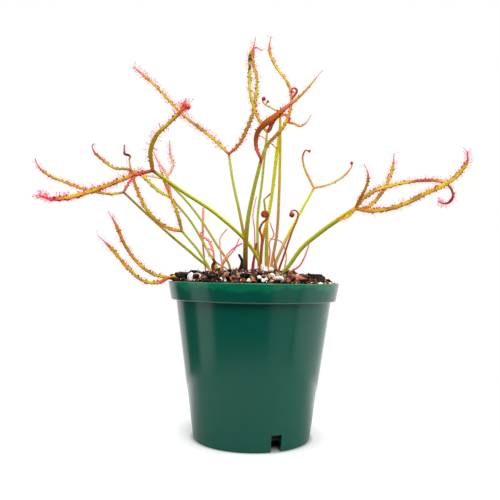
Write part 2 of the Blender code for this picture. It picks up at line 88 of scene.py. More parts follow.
LEAVES = {
    "leaf_left_long": Leaf((5, -3), (1, 1), "moss moss lime moss rust",
        [(2, -4, 104), (-20, -13, 127), (-42, -21, 141), (-57, -25, 151)], [
        Arm((1.05, 1.05, 1, 1.5), 1.2, "olive gold gold amber coral", 5.2, 2.6,
            [(-58, -27, 162), (-55, -29, 169), (-47, -33, 176), (-41, -37, 180.6), (-38.6, -40, 181.8),
            (-36.6, -41, 182.4)], knob=1.7),
        Arm(1.1, 0.9, "coral amber coral", 9, 2.6,
            [(-39.5, -39, 182.4), (-38.6, -40, 184)], start=(-41.5, -37, 180)),
        Arm((1.15, 1.3, 1.45, 1.4, 1.15), 0.4,
            "rust russet gold olive amber gold amber gold amber crimson crimson", 7.4, 2.4,
            [(-68, -25, 148), (-83, -24, 142), (-95, -23, 138), (-106, -22, 135.2), (-115, -21, 134.9),
            (-121.6, -20, 137.2)]),
    ]),
    "leaf_back_tall": Leaf((-5, 8), (0.95, 0.75), "rust rust olive moss moss rust",
        [(-6, 10, 115), (-9, 14, 131), (-14, 20, 153), (-17, 25, 171)], [
        Arm(0.9, 0.3, "gold gold olive gold gold gold amber crimson", 5.4, 2.5,
            [(-27, 28, 181), (-48, 32, 198), (-69, 36, 220), (-82, 38, 231)]),
        Arm((0.95, 0.95, 0.8, 0.75, 0.7), 0.18, "russet olive gold lime gold amber crimson", 4.6, 2.1,
            [(-11, 26, 177), (-6, 27, 187), (-1, 28, 203), (0, 29, 222), (-3, 30, 236), (-1, 30, 249)]),
    ]),
    "leaf_front_tall": Leaf((-5, -8), (1.5, 1), "dead dead olive moss moss moss rust",
        [(-5, -11, 111), (-4, -14, 125), (-1, -17, 142), (3, -20, 159)], [
        Arm((0.8, 1.1, 1.3, 1.6, 1.5, 1, 0.65, 0.5, 0.35), 0.14,
            "coral russet russet russet russet russet coral amber amber gold coral", 1.7, 1.6,
            [(0, -22, 166), (0, -24, 171), (14, -31, 184), (24, -34, 192), (35, -36, 205)]),
        Arm(0.85, 0.2, "moss olive olive gold amber tan tan gold lime gold amber coral", 2.8, 1.7,
            [(6, -18, 167), (16, -15, 180), (20, -12, 196), (19, -10, 204), (10, -8, 218), (7, -6, 228),
            (8, -5, 236)]),
        Arm(0.72, 0.5, "rust rust crimson", 0, 0.9,
            [(21.7, -12, 198.2), (22.8, -12, 199.8)], curl=(1.8, 0.9, 0.9, 1), start=(20, -12, 196)),
        # This flap lies in the shade of the arm above it. The blush among its colours is painted light that
        # brightens it against that shade.
        Arm((1.1, 1.5, 1.5), 1.1, "coral coral blush coral coral", 1.4, 1.5,
            [(9.4, -27, 179.8), (8.1, -27, 177.4), (7.5, -26, 175.1),
            (6.2, -25, 173.8)], start=(12.9, -28.5, 182.8)),
    ]),
    "leaf_middle_hooked": Leaf((3, 7), (0.8, 0.7), "coral moss moss gold",
        [(2, 8, 115), (2, 10, 131), (4, 12, 149), (6, 14, 172), (7, 15, 183)], [
        Arm(0.95, 0.25, "moss gold lime lime gold crimson", 4.6, 1.9,
            [(0, 17, 195), (-4, 18, 209), (-4.5, 19, 226), (-4, 19, 234), (-1, 19, 238), (3, 19, 236)]),
    ]),
    "leaf_middle_short": Leaf((4, 2), (0.9, 1.1), "crimson rust russet lime lime lime gold",
        [(4.6, 2, 112), (8.6, 3, 132), (13.2, 5, 171.7)], [
        Arm(0.6, 0.35, "gold amber", 0.4, 0.7, [(11.9, 4, 171.3), (10, 3, 172.8), (3, 1, 177.3)]),
        Arm(0.75, 0.4, "gold amber", 0.4, 0.7, [(13.6, 6, 176), (14.3, 8, 181), (14.6, 9, 190)]),
    ]),
    "leaf_middle_tall": Leaf((10, -5), (0.9, 0.75), "tan tan tan gold gold amber",
        [(13, -6, 118), (14, -7, 144), (14.2, -7, 166), (13.9, -7, 187)], [
        Arm(0.5, 0.4, "gold gold crimson", 0.5, 0.7,
            [(12, -8, 190), (8.4, -9, 191.6), (3.8, -10, 194.4), (3.3, -10, 195.4),
            (4.1, -10, 196.6)], knob=1.25),
        Arm(0.8, 0.2, "crimson crimson amber amber coral", 2, 1,
            [(16, -7, 188.4), (18.2, -8, 187), (19.4, -9, 183), (21.4, -9, 182.8), (25.6, -11, 180.6),
            (28, -12, 181.7), (31.5, -14, 186.5)]),
        Arm(0.4, 0.35, "amber russet", 0.4, 0.6, [(6.5, -10, 195)], start=(5.4, -10, 193.5), knob=0.85),
    ]),
    "leaf_folded": Leaf((8, 12), (1.5, 0.65), "olive moss moss moss",
        [(7.7, 13, 110), (7.6, 14, 125), (5.7, 15, 141)], [
        Arm(0.5, 0.28, "rust crimson", 0.6, 0.7, [(10, 16, 145.2), (12.5, 17, 150.4)]),
    ]),
    "leaf_right_upright": Leaf((12, 5), (1.05, 0.7), "tan tan tan lime lime lime amber",
        [(18, 8, 113), (26, 11, 129), (36.6, 15, 148.6)], [
        Arm(0.65, 0.4, "amber amber gold amber russet crimson", 0.5, 0.8,
            [(34, 16, 154), (30, 17, 164), (29.6, 17, 169), (31.4, 16, 172.3),
            (33.4, 15, 171.6)], knob=0.95),
        Arm(0.65, 0.35, "amber gold gold amber amber crimson", 0.5, 0.8,
            [(43, 15, 150), (50, 16, 153), (58, 17, 159.5), (60.4, 17, 163.6), (60.2, 17, 165)], knob=1),
    ]),
    "leaf_right_long": Leaf((17.2, -6), (1.1, 1.35), "moss moss moss moss moss amber",
        [(20.6, -6.7, 100.3), (27.4, -8, 110), (38.8, -10, 120), (57, -14, 133)], [
        Arm(1.2, 0.36, "amber gold olive gold olive gold gold gold gold amber crimson", 5, 2,
            [(66, -13, 132), (75, -12, 133), (99, -6, 143), (123, 2, 158), (128, 4, 166), (128, 5, 171)]),
        Arm(1.05, 0.36, "moss olive gold gold gold rust rust gold russet crimson crimson", 5, 2,
            [(62.1, -13, 139.3), (68.4, -10, 143.5), (75.9, -6, 146.7), (85, -3, 149.4), (93.4, 0, 151.3),
            (102.8, 3, 152.6), (108.9, 6, 153.1), (116, 9, 152.2), (120.6, 11, 148.6), (121.9, 12, 144.4),
            (120, 13, 140.9), (116.5, 13, 140), (113, 13, 141.3)]),
        Arm(0.75, 0.2, "amber amber gold amber coral", 2.2, 1.7,
            [(59.3, -19, 138.5), (61.1, -22, 142.9), (62.3, -24, 147.5), (62.1, -25, 150.9),
            (59.8, -26, 156.2)]),
        Arm(0.95, 0.25, "olive gold olive gold gold coral", 4, 1.8,
            [(62.1, -13, 133.1), (67.2, -8, 135.9), (72.4, -3, 140.7), (76.4, 0, 145.9), (80.9, 3, 154.6),
            (83.3, 5, 161.9), (83.9, 6, 169.1)]),
        Arm(1.1, 0.45, "olive gold amber", 2.4, 1.4, [(52, -21, 128), (46, -28, 124.5)]),
    ]),
    "leaf_left_bushy": Leaf((-26, 1), (0.75, 0.72), "moss moss moss olive", [(-32, 4, 106), (-44, 9, 120)], [
        Arm(0.85, 0.3, "olive gold amber russet blush", 4, 1.6,
            [(-48, 10, 133), (-53, 11, 144), (-60, 12, 162)]),
        Arm(0.95, 0.35, "amber olive gold amber russet tan", 3.6, 1.8,
            [(-52, 9, 121.5), (-58, 9, 125), (-66, 10, 133), (-71, 11, 142), (-76.6, 12, 157.5),
            (-78.2, 13, 164.6)]),
        Arm((0.45, 0.65, 0.7, 0.5), 0.35, "russet dead dead crimson", 3, 0.9,
            [(-77.6, 13, 166.2), (-79, 13, 167), (-80.9, 13, 167.5), (-81.4, 14, 170.2),
            (-81.5, 14, 173.4)], start=(-78.2, 13, 164)),
    ]),
    "leaf_left_wide": Leaf((-26, 7), (0.85, 0.75), "moss moss olive rust",
        [(-36, 10, 105), (-49, 14, 115.5), (-69, 19, 132.5), (-83, 22, 145)], [
        Arm(0.85, 0.25, "gold olive amber gold amber crimson", 4, 2,
            [(-88, 21, 143.8), (-98, 17, 143.9), (-106.4, 14, 145.6), (-117.7, 10, 149.5),
            (-126.8, 5, 153.5), (-131.3, 2, 159), (-131.7, 1, 161.5)]),
        Arm(0.8, 0.45, "coral", 3, 1.6, [(-81, 30, 153), (-78, 35, 160)]),
    ]),
    "leaf_left_yellow": Leaf((-22, 13), (0.78, 0.68), "moss lime moss moss gold",
        [(-30, 16, 111), (-40, 20, 127), (-53, 24, 142)], [
        Arm(0.9, 0.25, "lime lime gold olive gold russet crimson", 2.8, 1.4,
            [(-62, 24, 147), (-72, 23, 156), (-82, 24, 160), (-89.5, 23, 160.4), (-96.6, 22, 165.3),
            (-102.8, 21, 171.7), (-103.1, 20, 173.9), (-101.6, 20, 175.2)]),
        Arm(0.65, 0.28, "blush coral", 2.4, 1.4, [(-57, 29, 157), (-64, 33, 168), (-67, 35, 174)]),
    ]),
    "leaf_left_inner": Leaf((-14, 7), (0.75, 0.68), "olive moss moss moss",
        [(-24, 10, 114), (-40, 15, 136.5), (-56, 18, 153)], [
        Arm(0.65, 0.3, "straw gold", 2, 1.4, [(-61, 18, 154), (-67, 18, 155), (-72, 18, 156)]),
        Arm(0.65, 0.25, "straw blush coral", 4, 1.8, [(-52, 21, 163), (-54, 23, 169), (-55, 25, 179)]),
    ]),
    "leaf_over_rim": Leaf((-34, -9), (0.85, 0.95), "olive olive gold russet",
        [(-37, -10, 94.6), (-42, -13, 93.2), (-48, -16, 91.8)], [
        Arm((0.95, 0.85, 0.75), 0.16, "gold olive gold amber olive amber amber crimson", 4.4, 1.7,
            [(-57, -18, 94), (-65, -20, 100), (-71, -22, 108), (-78, -24, 123), (-81, -25, 128)]),
        Arm((0.95, 0.85, 0.75), 0.16, "russet gold olive gold amber gold amber crimson", 4.4, 1.7,
            [(-54, -21, 89), (-61, -24, 90), (-68, -27, 96), (-78, -31, 108), (-84, -34, 114)]),
    ]),
    "fiddlehead_left": Leaf((3, -13), (0.65, 0.62), "dead rust rust rust rust",
        [(4, -13, 110), (4, -13, 116.5), (2.9, -13, 120), (4.4, -14, 123.8), (6.9, -14, 126.4),
        (7.4, -14, 128)], curl=(2, 0.5, 1.75, 1)),
    "fiddlehead_right": Leaf((14, -13), (0.7, 0.45), "rust russet rust",
        [(17, -14, 106), (21.5, -16, 120), (24.3, -16, 127.6)], curl=(3, 0.7, 0.75, 1), knob=1.6),
    "young_leaf_pink": Leaf((-23, -3), (0.6, 0.6), "rust blush blush", [(-24, -3, 108)], [
        Arm(0.75, 0.35, "blush coral", 2, 1, [(-27, -2, 114), (-32, -1, 118), (-30, 0, 120)]),
        Arm(0.55, 0.3, "blush coral", 0.6, 0.9, [(-27, -6, 109), (-26, -8, 104)]),
    ]),
    "young_leaf_left": Leaf((-18, -8), (0.6, 0.3), "moss blush coral",
        [(-20, -7, 111), (-20, -6, 115), (-16, -5, 121)]),
    "young_leaf_bent": Leaf((-20, 4), (0.6, 0.3), "rust coral coral",
        [(-16, 4, 104), (-12, 5, 109), (-9, 6, 116)]),
    "young_leaf_red": Leaf((-19, -13), (0.6, 0.35), "rust tan straw crimson crimson",
        [(-17, -14, 103), (-12, -14, 109), (-7, -14, 112)]),
    "young_leaf_far": Leaf((-30, 20), (0.5, 0.8), "moss blush blush straw",
        [(-32, 21, 112), (-32.4, 21, 124), (-32.4, 22, 136)]),
    "young_leaf_hooked": Leaf((8, -11), (0.55, 0.28), "blush coral blush",
        [(9, -10, 108), (8.6, -10, 113), (11.2, -10, 117.5), (10, -11, 121), (8.6, -11, 125)]),
    "young_leaf_pale": Leaf((18, 1), (0.6, 0.35), "tan straw straw",
        [(19, 1, 107), (16, 0, 114), (9, -1, 116)]),
    "young_leaf_right": Leaf((20, -12), (0.6, 0.35), "tan coral coral",
        [(26, -14, 100), (29, -15, 106), (31, -15, 112)]),
    "young_leaf_back": Leaf((0, 15), (0.6, 0.3), "moss blush coral",
        [(0, 16, 123), (-1, 17, 131), (1, 18, 143)]),
    "stalk_red": Leaf((-1, 0), (0.85, 0.65), "crimson rust", [(0, 0, 104), (1.4, 0, 113)]),
    "stalk_tan": Leaf((14, 1), (0.7, 0.5), "tan", [(12, 0, 104), (12, -1, 111)]),
    "stalk_dead": Leaf((-8, -1), (1.6, 0.7), "dead", [(-7, -1, 102), (-9, 0, 106)]),
    "stalk_dead_left": Leaf((-23, -11), (1.2, 0.9), "rust dead",
        [(-23.6, -11, 99.5), (-22.6, -11, 101.4), (-23.9, -11, 103)], [
        Arm(0.5, 0.36, "rust russet rust", 0, 0, [(-21, -11, 100.4), (-17.5, -11, 98.6), (-14, -11, 96)]),
    ]),
}
LEAF_SLOTS = {
    "leaf_green": "moss", "leaf_gold": "lime gold amber", "leaf_olive": "olive", "leaf_dead": "dead",
    "leaf_rust": "rust russet crimson", "leaf_pink": "blush coral", "leaf_tan": "tan straw",
}

# -------------------- settings


def length(name, description, default, lowest=0):
    return FloatProperty(name=name, description=description, default=default, unit="LENGTH", min=lowest)


def angle(name, description, degrees):
    return FloatProperty(name=name, description=description, default=math.radians(degrees), subtype="ANGLE")


def number(name, things, default):
    return IntProperty(name=name, description=f"Number of {things}", default=default, min=1)


def amount(name, description, default, lowest, highest):
    return FloatProperty(name=name, description=description, default=default, min=lowest, max=highest)


def colour(name, thing, default):
    settings = {"subtype": "COLOR", "size": 3, "min": 0, "max": 1}
    return FloatVectorProperty(name=name, description=f"Colour of {thing}", default=default, **settings)


class SundewPot(bpy.types.PropertyGroup):
    """The moulded pot"""

    rim_depth: length("Rim depth", "Height of the stepped rim", 0.0104)
    rim_foot: length("Rim foot radius", "Outer radius at the foot of the rim", 0.048)
    body_top: length("Body top radius", "Outer radius under the rim", 0.0452)
    base: length("Base radius", "Outer radius at the foot", 0.0338)
    wall: length("Wall", "Thickness of the plastic", 0.0012)
    floor_height: length("Floor height", "Height of the floor's underside", 0.005)
    notch_width: length("Notch width", "Width of a drainage notch", 0.006)
    notch_height: length("Notch height", "Height of a drainage notch", 0.0093)
    notches: number("Notches", "drainage notches", 3)
    first_notch: angle("First notch", "Turn of the first notch from the front", 22.5)
    plastic: colour("Plastic", "the pot", (0.0015, 0.086, 0.057))


class SundewMix(bpy.types.PropertyGroup):
    """The potting mix"""

    fall: length("Fall", "How much lower the mix is at the rim than in the middle", 0.0049)
    dip: length("Dip", "How much further it falls at the right edge", 0.0026)
    chips: number("Bark crumbs", "bark crumbs", 2400)
    grains: number("Perlite crumbs", "perlite crumbs", 560)
    fibres: number("Fibres", "loose fibres", 170)
    bark: colour("Bark", "the dark bark", (0.006, 0.003, 0.003))
    russet: colour("Russet bark", "the freshly broken bark", (0.27, 0.080, 0.030))
    perlite: colour("Perlite", "the perlite", (0.86, 0.81, 0.73))


class SundewLeaves(bpy.types.PropertyGroup):
    """The leaves and their gland hairs"""

    flatness: amount("Flatness", "Thickness of an arm over its width", 0.55, 0.1, 1)
    hair_share: amount("Hair share", "Share of the gland hairs that is made", 1, 0, 2)
    gold: colour("Gold", "a ripe arm", (0.57, 0.41, 0.003))
    amber: colour("Amber", "an arm that reddens", (0.64, 0.245, 0.005))
    lime: colour("Lime", "a young stalk", (0.58, 0.58, 0.010))
    moss: colour("Moss", "a green stalk", (0.39, 0.40, 0.022))
    olive: colour("Olive", "a dark stalk", (0.34, 0.205, 0.008))
    rust: colour("Rust", "a fiddlehead", (0.36, 0.060, 0.022))
    russet: colour("Russet", "a withering arm", (0.48, 0.115, 0.012))
    crimson: colour("Crimson", "glands and tips", (0.74, 0.020, 0.065))
    coral: colour("Coral", "a reddened young leaf", (0.76, 0.13, 0.085))
    blush: colour("Blush", "a pale young leaf", (0.80, 0.30, 0.23))
    tan: colour("Tan", "a withered stalk", (0.54, 0.27, 0.085))
    straw: colour("Straw", "a dry young leaf", (0.74, 0.46, 0.22))
    dead: colour("Dead", "a dead stalk", (0.022, 0.013, 0.012))


class SundewStage(bpy.types.PropertyGroup):
    """The floor, the lights and the camera"""

    floor_radius: length("Floor radius", "Radius of the round floor", 0.145)
    camera_distance: length("Camera distance", "From the camera to the pot's axis", 0.3478)
    camera_side: length("Camera side", "Camera to the right of the axis", -0.00247, lowest=-1)
    camera_height: length("Camera height", "Height of the camera", 0.0955)
    camera_pitch: angle("Camera pitch", "Upward tilt", 2.2)
    camera_roll: angle("Camera roll", "Turn about the view", 0.94)
    lens: amount("Lens", "Focal length in millimetres", 42.28, 1, 200)


# -------------------- modelling tools


def make_active(*pieces):
    """Selects these pieces alone. The first becomes the active one."""
    bpy.ops.object.select_all(action="DESELECT")
    for piece in pieces:
        piece.select_set(True)
    bpy.context.view_layer.objects.active = pieces[0]


def named(name):
    """The piece that an operator has just made, under its own name."""
    piece = bpy.context.object
    piece.name = piece.data.name = name
    return piece


def added(name, operator, **settings):
    """Adds a primitive, a light or a camera, and names it."""
    bpy.ops.object.select_all(action="DESELECT")
    operator(**settings)
    return named(name)


def joined(name, pieces):
    make_active(*pieces)
    bpy.ops.object.join()
    return named(name)


def from_mesh(name, points, edges, faces):
    mesh = bpy.data.meshes.new(name)
    mesh.from_pydata(points, edges, faces)
    piece = bpy.data.objects.new(name, mesh)
    bpy.context.collection.objects.link(piece)
    make_active(piece)
    return piece


@contextmanager
def editing(piece):
    """Edit mode on one piece, with all of it selected."""
    make_active(piece)
    bpy.ops.object.mode_set(mode="EDIT")
    bpy.ops.mesh.select_all(action="SELECT")
    yield
    bpy.ops.object.mode_set(mode="OBJECT")


def face_outward():
    """In edit mode, turns every face outward."""
    bpy.ops.mesh.select_all(action="SELECT")
    bpy.ops.mesh.normals_make_consistent(inside=False)


def spun(name, outline, steps):
    """An outline of (radius, height), from axis to axis, spun round Z."""
    edges = [(step, step + 1) for step in range(len(outline) - 1)]
    piece = from_mesh(name, [(radius, 0, height) for radius, height in outline], edges, [])
    with editing(piece):
        bpy.ops.mesh.spin(steps=steps, angle=WHOLE_TURN, center=(0, 0, 0), axis=(0, 0, 1))
        bpy.ops.mesh.select_all(action="SELECT")
        bpy.ops.mesh.remove_doubles(threshold=0.01 * MM)
        face_outward()
    return piece


def drawn_out(name, vertices, radius, moves, shrink, rotation=(0, 0, 0)):
    """A small disc that is extruded along each move in turn, and gets thinner each time."""
    disc = {"vertices": vertices, "radius": radius, "fill_type": "NGON", "rotation": rotation}
    piece = added(name, bpy.ops.mesh.primitive_circle_add, **disc)
    with editing(piece):
        for move in moves:
            bpy.ops.mesh.extrude_region_move(TRANSFORM_OT_translate={"value": move})
            bpy.ops.transform.resize(value=(shrink,) * 3)
        face_outward()
    return piece


def rounded(corners, steps=5):
    """An open outline whose corners (x, y, rounding) are drawn as curves. The ends stay sharp."""
    outline = [Vector(corners[0][:2])]
    for before, here, after in zip(corners, corners[1:], corners[2:]):
        corner, rounding = Vector(here[:2]), here[2]
        if rounding == 0:
            outline.append(corner)
            continue
        sides = (Vector(side[:2]) - corner for side in (before, after))
        start, end = (corner + side.normalized() * rounding for side in sides)
        for share in (step / steps for step in range(steps + 1)):
            outline.append(start * (1 - share) ** 2 + corner * 2 * share * (1 - share) + end * share**2)
    return [tuple(point) for point in outline + [Vector(corners[-1][:2])]]


def apply_modifier(piece, kind, **settings):
    make_active(piece)
    modifier = piece.modifiers.new(kind.title(), kind)
    for key, value in settings.items():
        setattr(modifier, key, value)
    bpy.ops.object.modifier_apply(modifier=modifier.name)


def combine(piece, other, operation):
    """Applies one exact Boolean and removes the other piece."""
    apply_modifier(piece, "BOOLEAN", operation=operation, solver="EXACT", object=other)
    bpy.data.objects.remove(other)


def displace(piece, kind, size, strength, middle, **settings):
    """Pushes the surface in and out by a texture whose lumps are about size across."""
    texture = bpy.data.textures.new(kind.lower(), kind)
    texture.noise_scale = size
    settings |= {"texture": texture, "texture_coords": "LOCAL", "strength": strength, "mid_level": middle}
    apply_modifier(piece, "DISPLACE", **settings)


def hand_over(piece, finish, slot, *nodes, smooth=30):
    """Gives a finished piece its material and its body, and hides the nodes that it stands for. Its slot is
    not used.
    """
    piece.data.materials.clear()
    piece.data.materials.append(finish)
    make_active(piece)
    bpy.ops.object.shade_smooth_by_angle(angle=math.radians(smooth))
    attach(piece, "root")
    if nodes:
        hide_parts(*nodes)


def template_of(piece):
    """A small modelled shape as arrays, ready to be copied. The shape itself is removed."""
    points = np.array([point.co for point in piece.data.vertices])
    faces = [tuple(face.vertices) for face in piece.data.polygons]
    bpy.data.objects.remove(piece)
    return points, faces


def copied(name, templates, places):
    """Copies of small shapes, joined. A place is (key of its template, 3x3 matrix, origin, tint)."""
    points, faces = [], []
    start = 0
    for key, turn, origin, _ in places:
        shape, shape_faces = templates[key][:2]
        points.append(shape @ np.array(turn).T + np.array(origin))
        faces += [tuple(index + start for index in face) for face in shape_faces]
        start += len(shape)
    return from_mesh(name, np.vstack(points).tolist(), [], faces)


def tinted(piece, tints):
    piece.data.attributes.new("tint", "FLOAT", "POINT").data.foreach_set("value", tints)


# -------------------- shader nodes


def math_node(operation, swapped=False):
    """An arithmetic method that adds one Math node."""

    def method(self, other):
        values = {0: other, 1: self} if swapped else {0: self, 1: other}
        return self.finish.node("ShaderNodeMath", {"operation": operation}, values)

    return method


class Wire:
    """One shader socket. Arithmetic on it adds Math nodes to its finish."""

    __add__ = __radd__ = math_node("ADD")
    __mul__ = __rmul__ = math_node("MULTIPLY")
    __sub__ = math_node("SUBTRACT")
    __rsub__ = math_node("SUBTRACT", swapped=True)
    __pow__ = math_node("POWER")

    def __init__(self, finish, socket):
        self.finish = finish
        self.socket = socket

    def between(self, low, high):
        """0 up to low, 1 from high on, and smooth between them."""
        settings = {"interpolation_type": "SMOOTHSTEP"}
        return self.finish.node("ShaderNodeMapRange", settings, {0: self, 1: low, 2: high})


class Finish:
    """A node-based material, or the world's, built by expressions."""

    def __init__(self, name, constants=None, owner=None):
        self.block = owner or bpy.data.materials.new(name)
        self.block.use_nodes = True
        self.tree = self.block.node_tree
        kind = "BSDF_PRINCIPLED" if owner is None else "BACKGROUND"
        self.shader = next(node for node in self.tree.nodes if node.type == kind)
        for socket, value in (constants or {}).items():
            self.shader.inputs[socket].default_value = value

    def node(self, kind, settings=None, values=None, output=0):
        """Adds a node with its settings, then its socket values or links, and returns one output."""
        made = self.tree.nodes.new(kind)
        for key, value in (settings or {}).items():
            setattr(made, key, value)
        for key, value in (values or {}).items():
            if isinstance(value, Wire):
                self.tree.links.new(value.socket, made.inputs[key])
            else:
                made.inputs[key].default_value = value
        return Wire(self, made.outputs[output])

    def feed(self, socket, wire):
        self.tree.links.new(wire.socket, self.shader.inputs[socket])

    def mix(self, factor, first, second, blend_type="MIX"):
        """One colour over another. A colour is a wire or three numbers."""
        first, second = (value if isinstance(value, Wire) else (*value, 1) for value in (first, second))
        settings = {"data_type": "RGBA", "blend_type": blend_type}
        return self.node("ShaderNodeMix", settings, {0: factor, 6: first, 7: second}, 2)

    def places(self, stretch=(1, 1, 1)):
        """Object coordinates, in metres, drawn out along an axis by a scale under 1."""
        plain = self.node("ShaderNodeTexCoord", output="Object")
        return self.node("ShaderNodeMapping", {}, {"Vector": plain, "Scale": stretch})

    def noise(self, size, detail=3.0, stretch=(1, 1, 1), distortion=0.0):
        """Noise from 0 to 1 with lumps about size across."""
        values = {"Vector": self.places(stretch), "Scale": 1 / size, "Detail": detail}
        return self.node("ShaderNodeTexNoise", {}, {**values, "Distortion": distortion})

    def cells(self, size):
        """Distance to the nearest of many scattered points, in cells."""
        return self.node("ShaderNodeTexVoronoi", {}, {"Vector": self.places(), "Scale": 1 / size})

    def attribute(self, name, output="Fac"):
        return self.node("ShaderNodeAttribute", {"attribute_name": name}, output=output)

    def parts(self, vector):
        """The three parts of a colour or vector."""
        split = self.node("ShaderNodeSeparateColor", {"mode": "RGB"}, {0: vector}).socket.node
        return [Wire(self, output) for output in split.outputs]

    def material(self, colour, roughness, height=None, depth=0):
        """Feeds the shader, with a bump of some depth if there is a height, and gives the material."""
        self.feed("Base Color", colour)
        self.feed("Roughness", roughness)
        if height is not None:
            self.feed("Normal", self.node("ShaderNodeBump", {}, {"Height": height, "Distance": depth}))
        return self.block


def plastic_finish(colours):
    """Glossy moulded polypropylene with dust and faint scuffs. A painted glow lights the top of the rim,
    where light shines through the thin plastic, and a painted highlight runs along the rim's step.
    """
    finish = Finish("pot_plastic", {"IOR": 1.46})
    base = colours.plastic
    # Painted light: a brighter green along the top of the rim, with an uneven lower border, stands in for
    # light shining through the thin plastic there.
    painted_rim_glow = (0.002, 0.20, 0.085)
    height = finish.parts(finish.places())[2]
    uneven = finish.noise(9 * MM, 2.0)
    edge = (height + (uneven - 0.5) * 0.009).between(POT_HIGH.z - 0.0040, POT_HIGH.z - 0.0018)
    cloud = finish.noise(30 * MM, 4.0)
    tone = finish.mix(cloud * 0.5, base, tuple(part * 1.25 for part in base))
    tone = finish.mix(edge * 0.75, tone, painted_rim_glow)
    step = POT_HIGH.z - colours.rim_depth
    # Painted highlight: a pale line along the foot of the stepped rim, where its rounded edge catches the
    # light.
    painted_step_highlight = height.between(step - 0.1 * MM, step) - height.between(step + 0.35 * MM, step + 0.6 * MM)
    tone = finish.mix(painted_step_highlight * 0.5, tone, (0.15, 0.34, 0.27))
    specks = 1 - finish.cells(2.6 * MM).between(0.03, 0.07)
    dust = specks * finish.noise(14 * MM).between(0.55, 0.75)
    tone = finish.mix(dust * 0.1, tone, (0.12, 0.13, 0.10))
    scuffs = finish.noise(2.5 * MM, 1.0)
    return finish.material(tone, 0.17 + cloud * 0.06 + dust * 0.2, scuffs, 0.004 * MM)


def bark_finish(colours, name, grain, paleness=0.5):
    """Chopped bark: dark, fibrous along one way, broken to russet in places."""
    finish = Finish(name, {"Specular IOR Level": 0.13})
    fibres = finish.noise(grain, 6.0, (0.3, 1, 1.4), 0.6)
    patches = finish.noise(grain * 3, 3.0)
    tone = finish.mix(fibres.between(0.35, 0.7), colours.bark, (0.042, 0.017, 0.011))
    tint = finish.attribute("tint")
    broken = (patches + (tint - 0.5) * paleness).between(0.52, 0.57)
    dim, bright = (tuple(part * share for part in colours.russet) for share in (0.5, 1.8))
    fresh = finish.mix(fibres.between(0.40, 0.60), dim, bright)
    tone = finish.mix(broken * 0.85, tone, fresh)
    pale = (tint * paleness + fibres * 0.4).between(0.76, 0.81)
    tone = finish.mix(pale * 0.85, tone, (0.62, 0.40, 0.27))
    return finish.material(tone, 0.28 + fibres * 0.5, fibres + patches * 0.5, 0.35 * MM)


def perlite_finish(colours, name):
    """Expanded perlite: chalky, with patches of brown stain, and darker in its pores."""
    finish = Finish(name, {"Subsurface Weight": 0.15, "Subsurface Scale": 0.8 * MM})
    pores = finish.cells(0.7 * MM).between(0.08, 0.4)
    stain = finish.noise(1.9 * MM, 4.0).between(0.52, 0.72)
    tone = finish.mix(stain * 0.5, colours.perlite, (0.55, 0.36, 0.22))
    tone = finish.mix((1 - pores) * 0.35, tone, (0.42, 0.34, 0.27))
    rough = pores + finish.noise(0.35 * MM) * 0.4
    return finish.material(tone, 0.8 + stain * 0.15, rough, 0.16 * MM)


def leaf_finish(colours):
    """Leaf skin: the grown colour, reddened margins with dark hair feet in them, and faint streaks."""
    constants = {"Subsurface Weight": 0.12, "Subsurface Scale": 0.5 * MM, "Specular IOR Level": 0.08}
    finish = Finish("leaf_skin", constants)
    grown = finish.attribute("grown", "Color")
    blade, edge, _ = finish.parts(finish.attribute("marks", "Color"))
    streaks = finish.noise(1.3 * MM, 4.0)
    patches = finish.noise(4 * MM, 3.0)
    shaded = finish.mix(1.0, grown, (0.6, 0.55, 0.5), "MULTIPLY")
    tone = finish.mix((streaks - 0.3) * (0.12 + blade * 0.23), grown, shaded)
    tone = finish.mix(blade * patches.between(0.5, 0.75) * 0.35, tone, colours.russet)
    border = blade * (edge + (patches - 0.5) * 0.6).between(0.58, 0.92)
    tone = finish.mix(border * 0.4, tone, colours.rust)
    feet = (1 - finish.cells(1.7 * MM).between(0.25, 0.34)) * blade * edge.between(0.4, 0.7)
    tone = finish.mix(feet * 0.9, tone, (0.25, 0.012, 0.006))
    return finish.material(tone, 0.42 + streaks * 0.2, streaks * blade * 0.5 + feet, 0.08 * MM)


def hair_finish(colours):
    """Gland hairs: pink stalks that deepen to a wet crimson gland. The short stubs are maroon."""
    finish = Finish("gland_hair", {"Specular IOR Level": 0.25})
    along, tint, _ = finish.parts(finish.node("ShaderNodeUVMap", {"uv_map": HAIR_MAP}))
    stalk = finish.mix(tint, (0.95, 0.24, 0.32), (0.85, 0.06, 0.15))
    tone = finish.mix(along.between(0.55, 0.8), stalk, colours.crimson)
    tone = finish.mix(tint.between(0.74, 0.79), tone, (0.29, 0.008, 0.008))
    return finish.material(tone, 0.5 - along.between(0.7, 0.9) * 0.3)


def gnat_finish():
    """The caught gnats: dark brown, with a dull shine."""
    finish = Finish("gnat_shell", {"Specular IOR Level": 0.1})
    spotty = finish.noise(0.7 * MM, 4.0).between(0.35, 0.65)
    tone = finish.mix(spotty, (0.045, 0.019, 0.008), (0.36, 0.18, 0.045))
    return finish.material(tone, 0.35 + spotty * 0.4, spotty, 0.08 * MM)


# -------------------- pot


def pot_outline(sizes):
    """The pot's half section: underside of the floor, foot, body, stepped rim, inside, floor."""
    top, edge, wall = POT_HIGH.z, POT_HIGH.x, sizes.wall
    step = top - sizes.rim_depth
    low, high = sizes.floor_height, sizes.floor_height + wall

    def body(height):
        return sizes.base + (sizes.body_top - sizes.base) * height / step

    return rounded([
        (0, low, 0),
        (body(low) - wall, low, 0.6 * MM),
        (sizes.base - wall, 0, 0.3 * MM),
        (sizes.base, 0, 0.5 * MM),
        (body(step / 2), step / 2, 0),
        (sizes.body_top, step, 0.5 * MM),
        (sizes.rim_foot, step, 0.55 * MM),
        (edge, top, 0.55 * MM),
        (edge - wall, top, 0.55 * MM),
        (sizes.rim_foot - wall, step + wall, 0.8 * MM),
        (body(step) - wall, step - wall, 0.8 * MM),
        (body(high) - wall, high, 0.6 * MM),
        (0, high, 0),
    ])


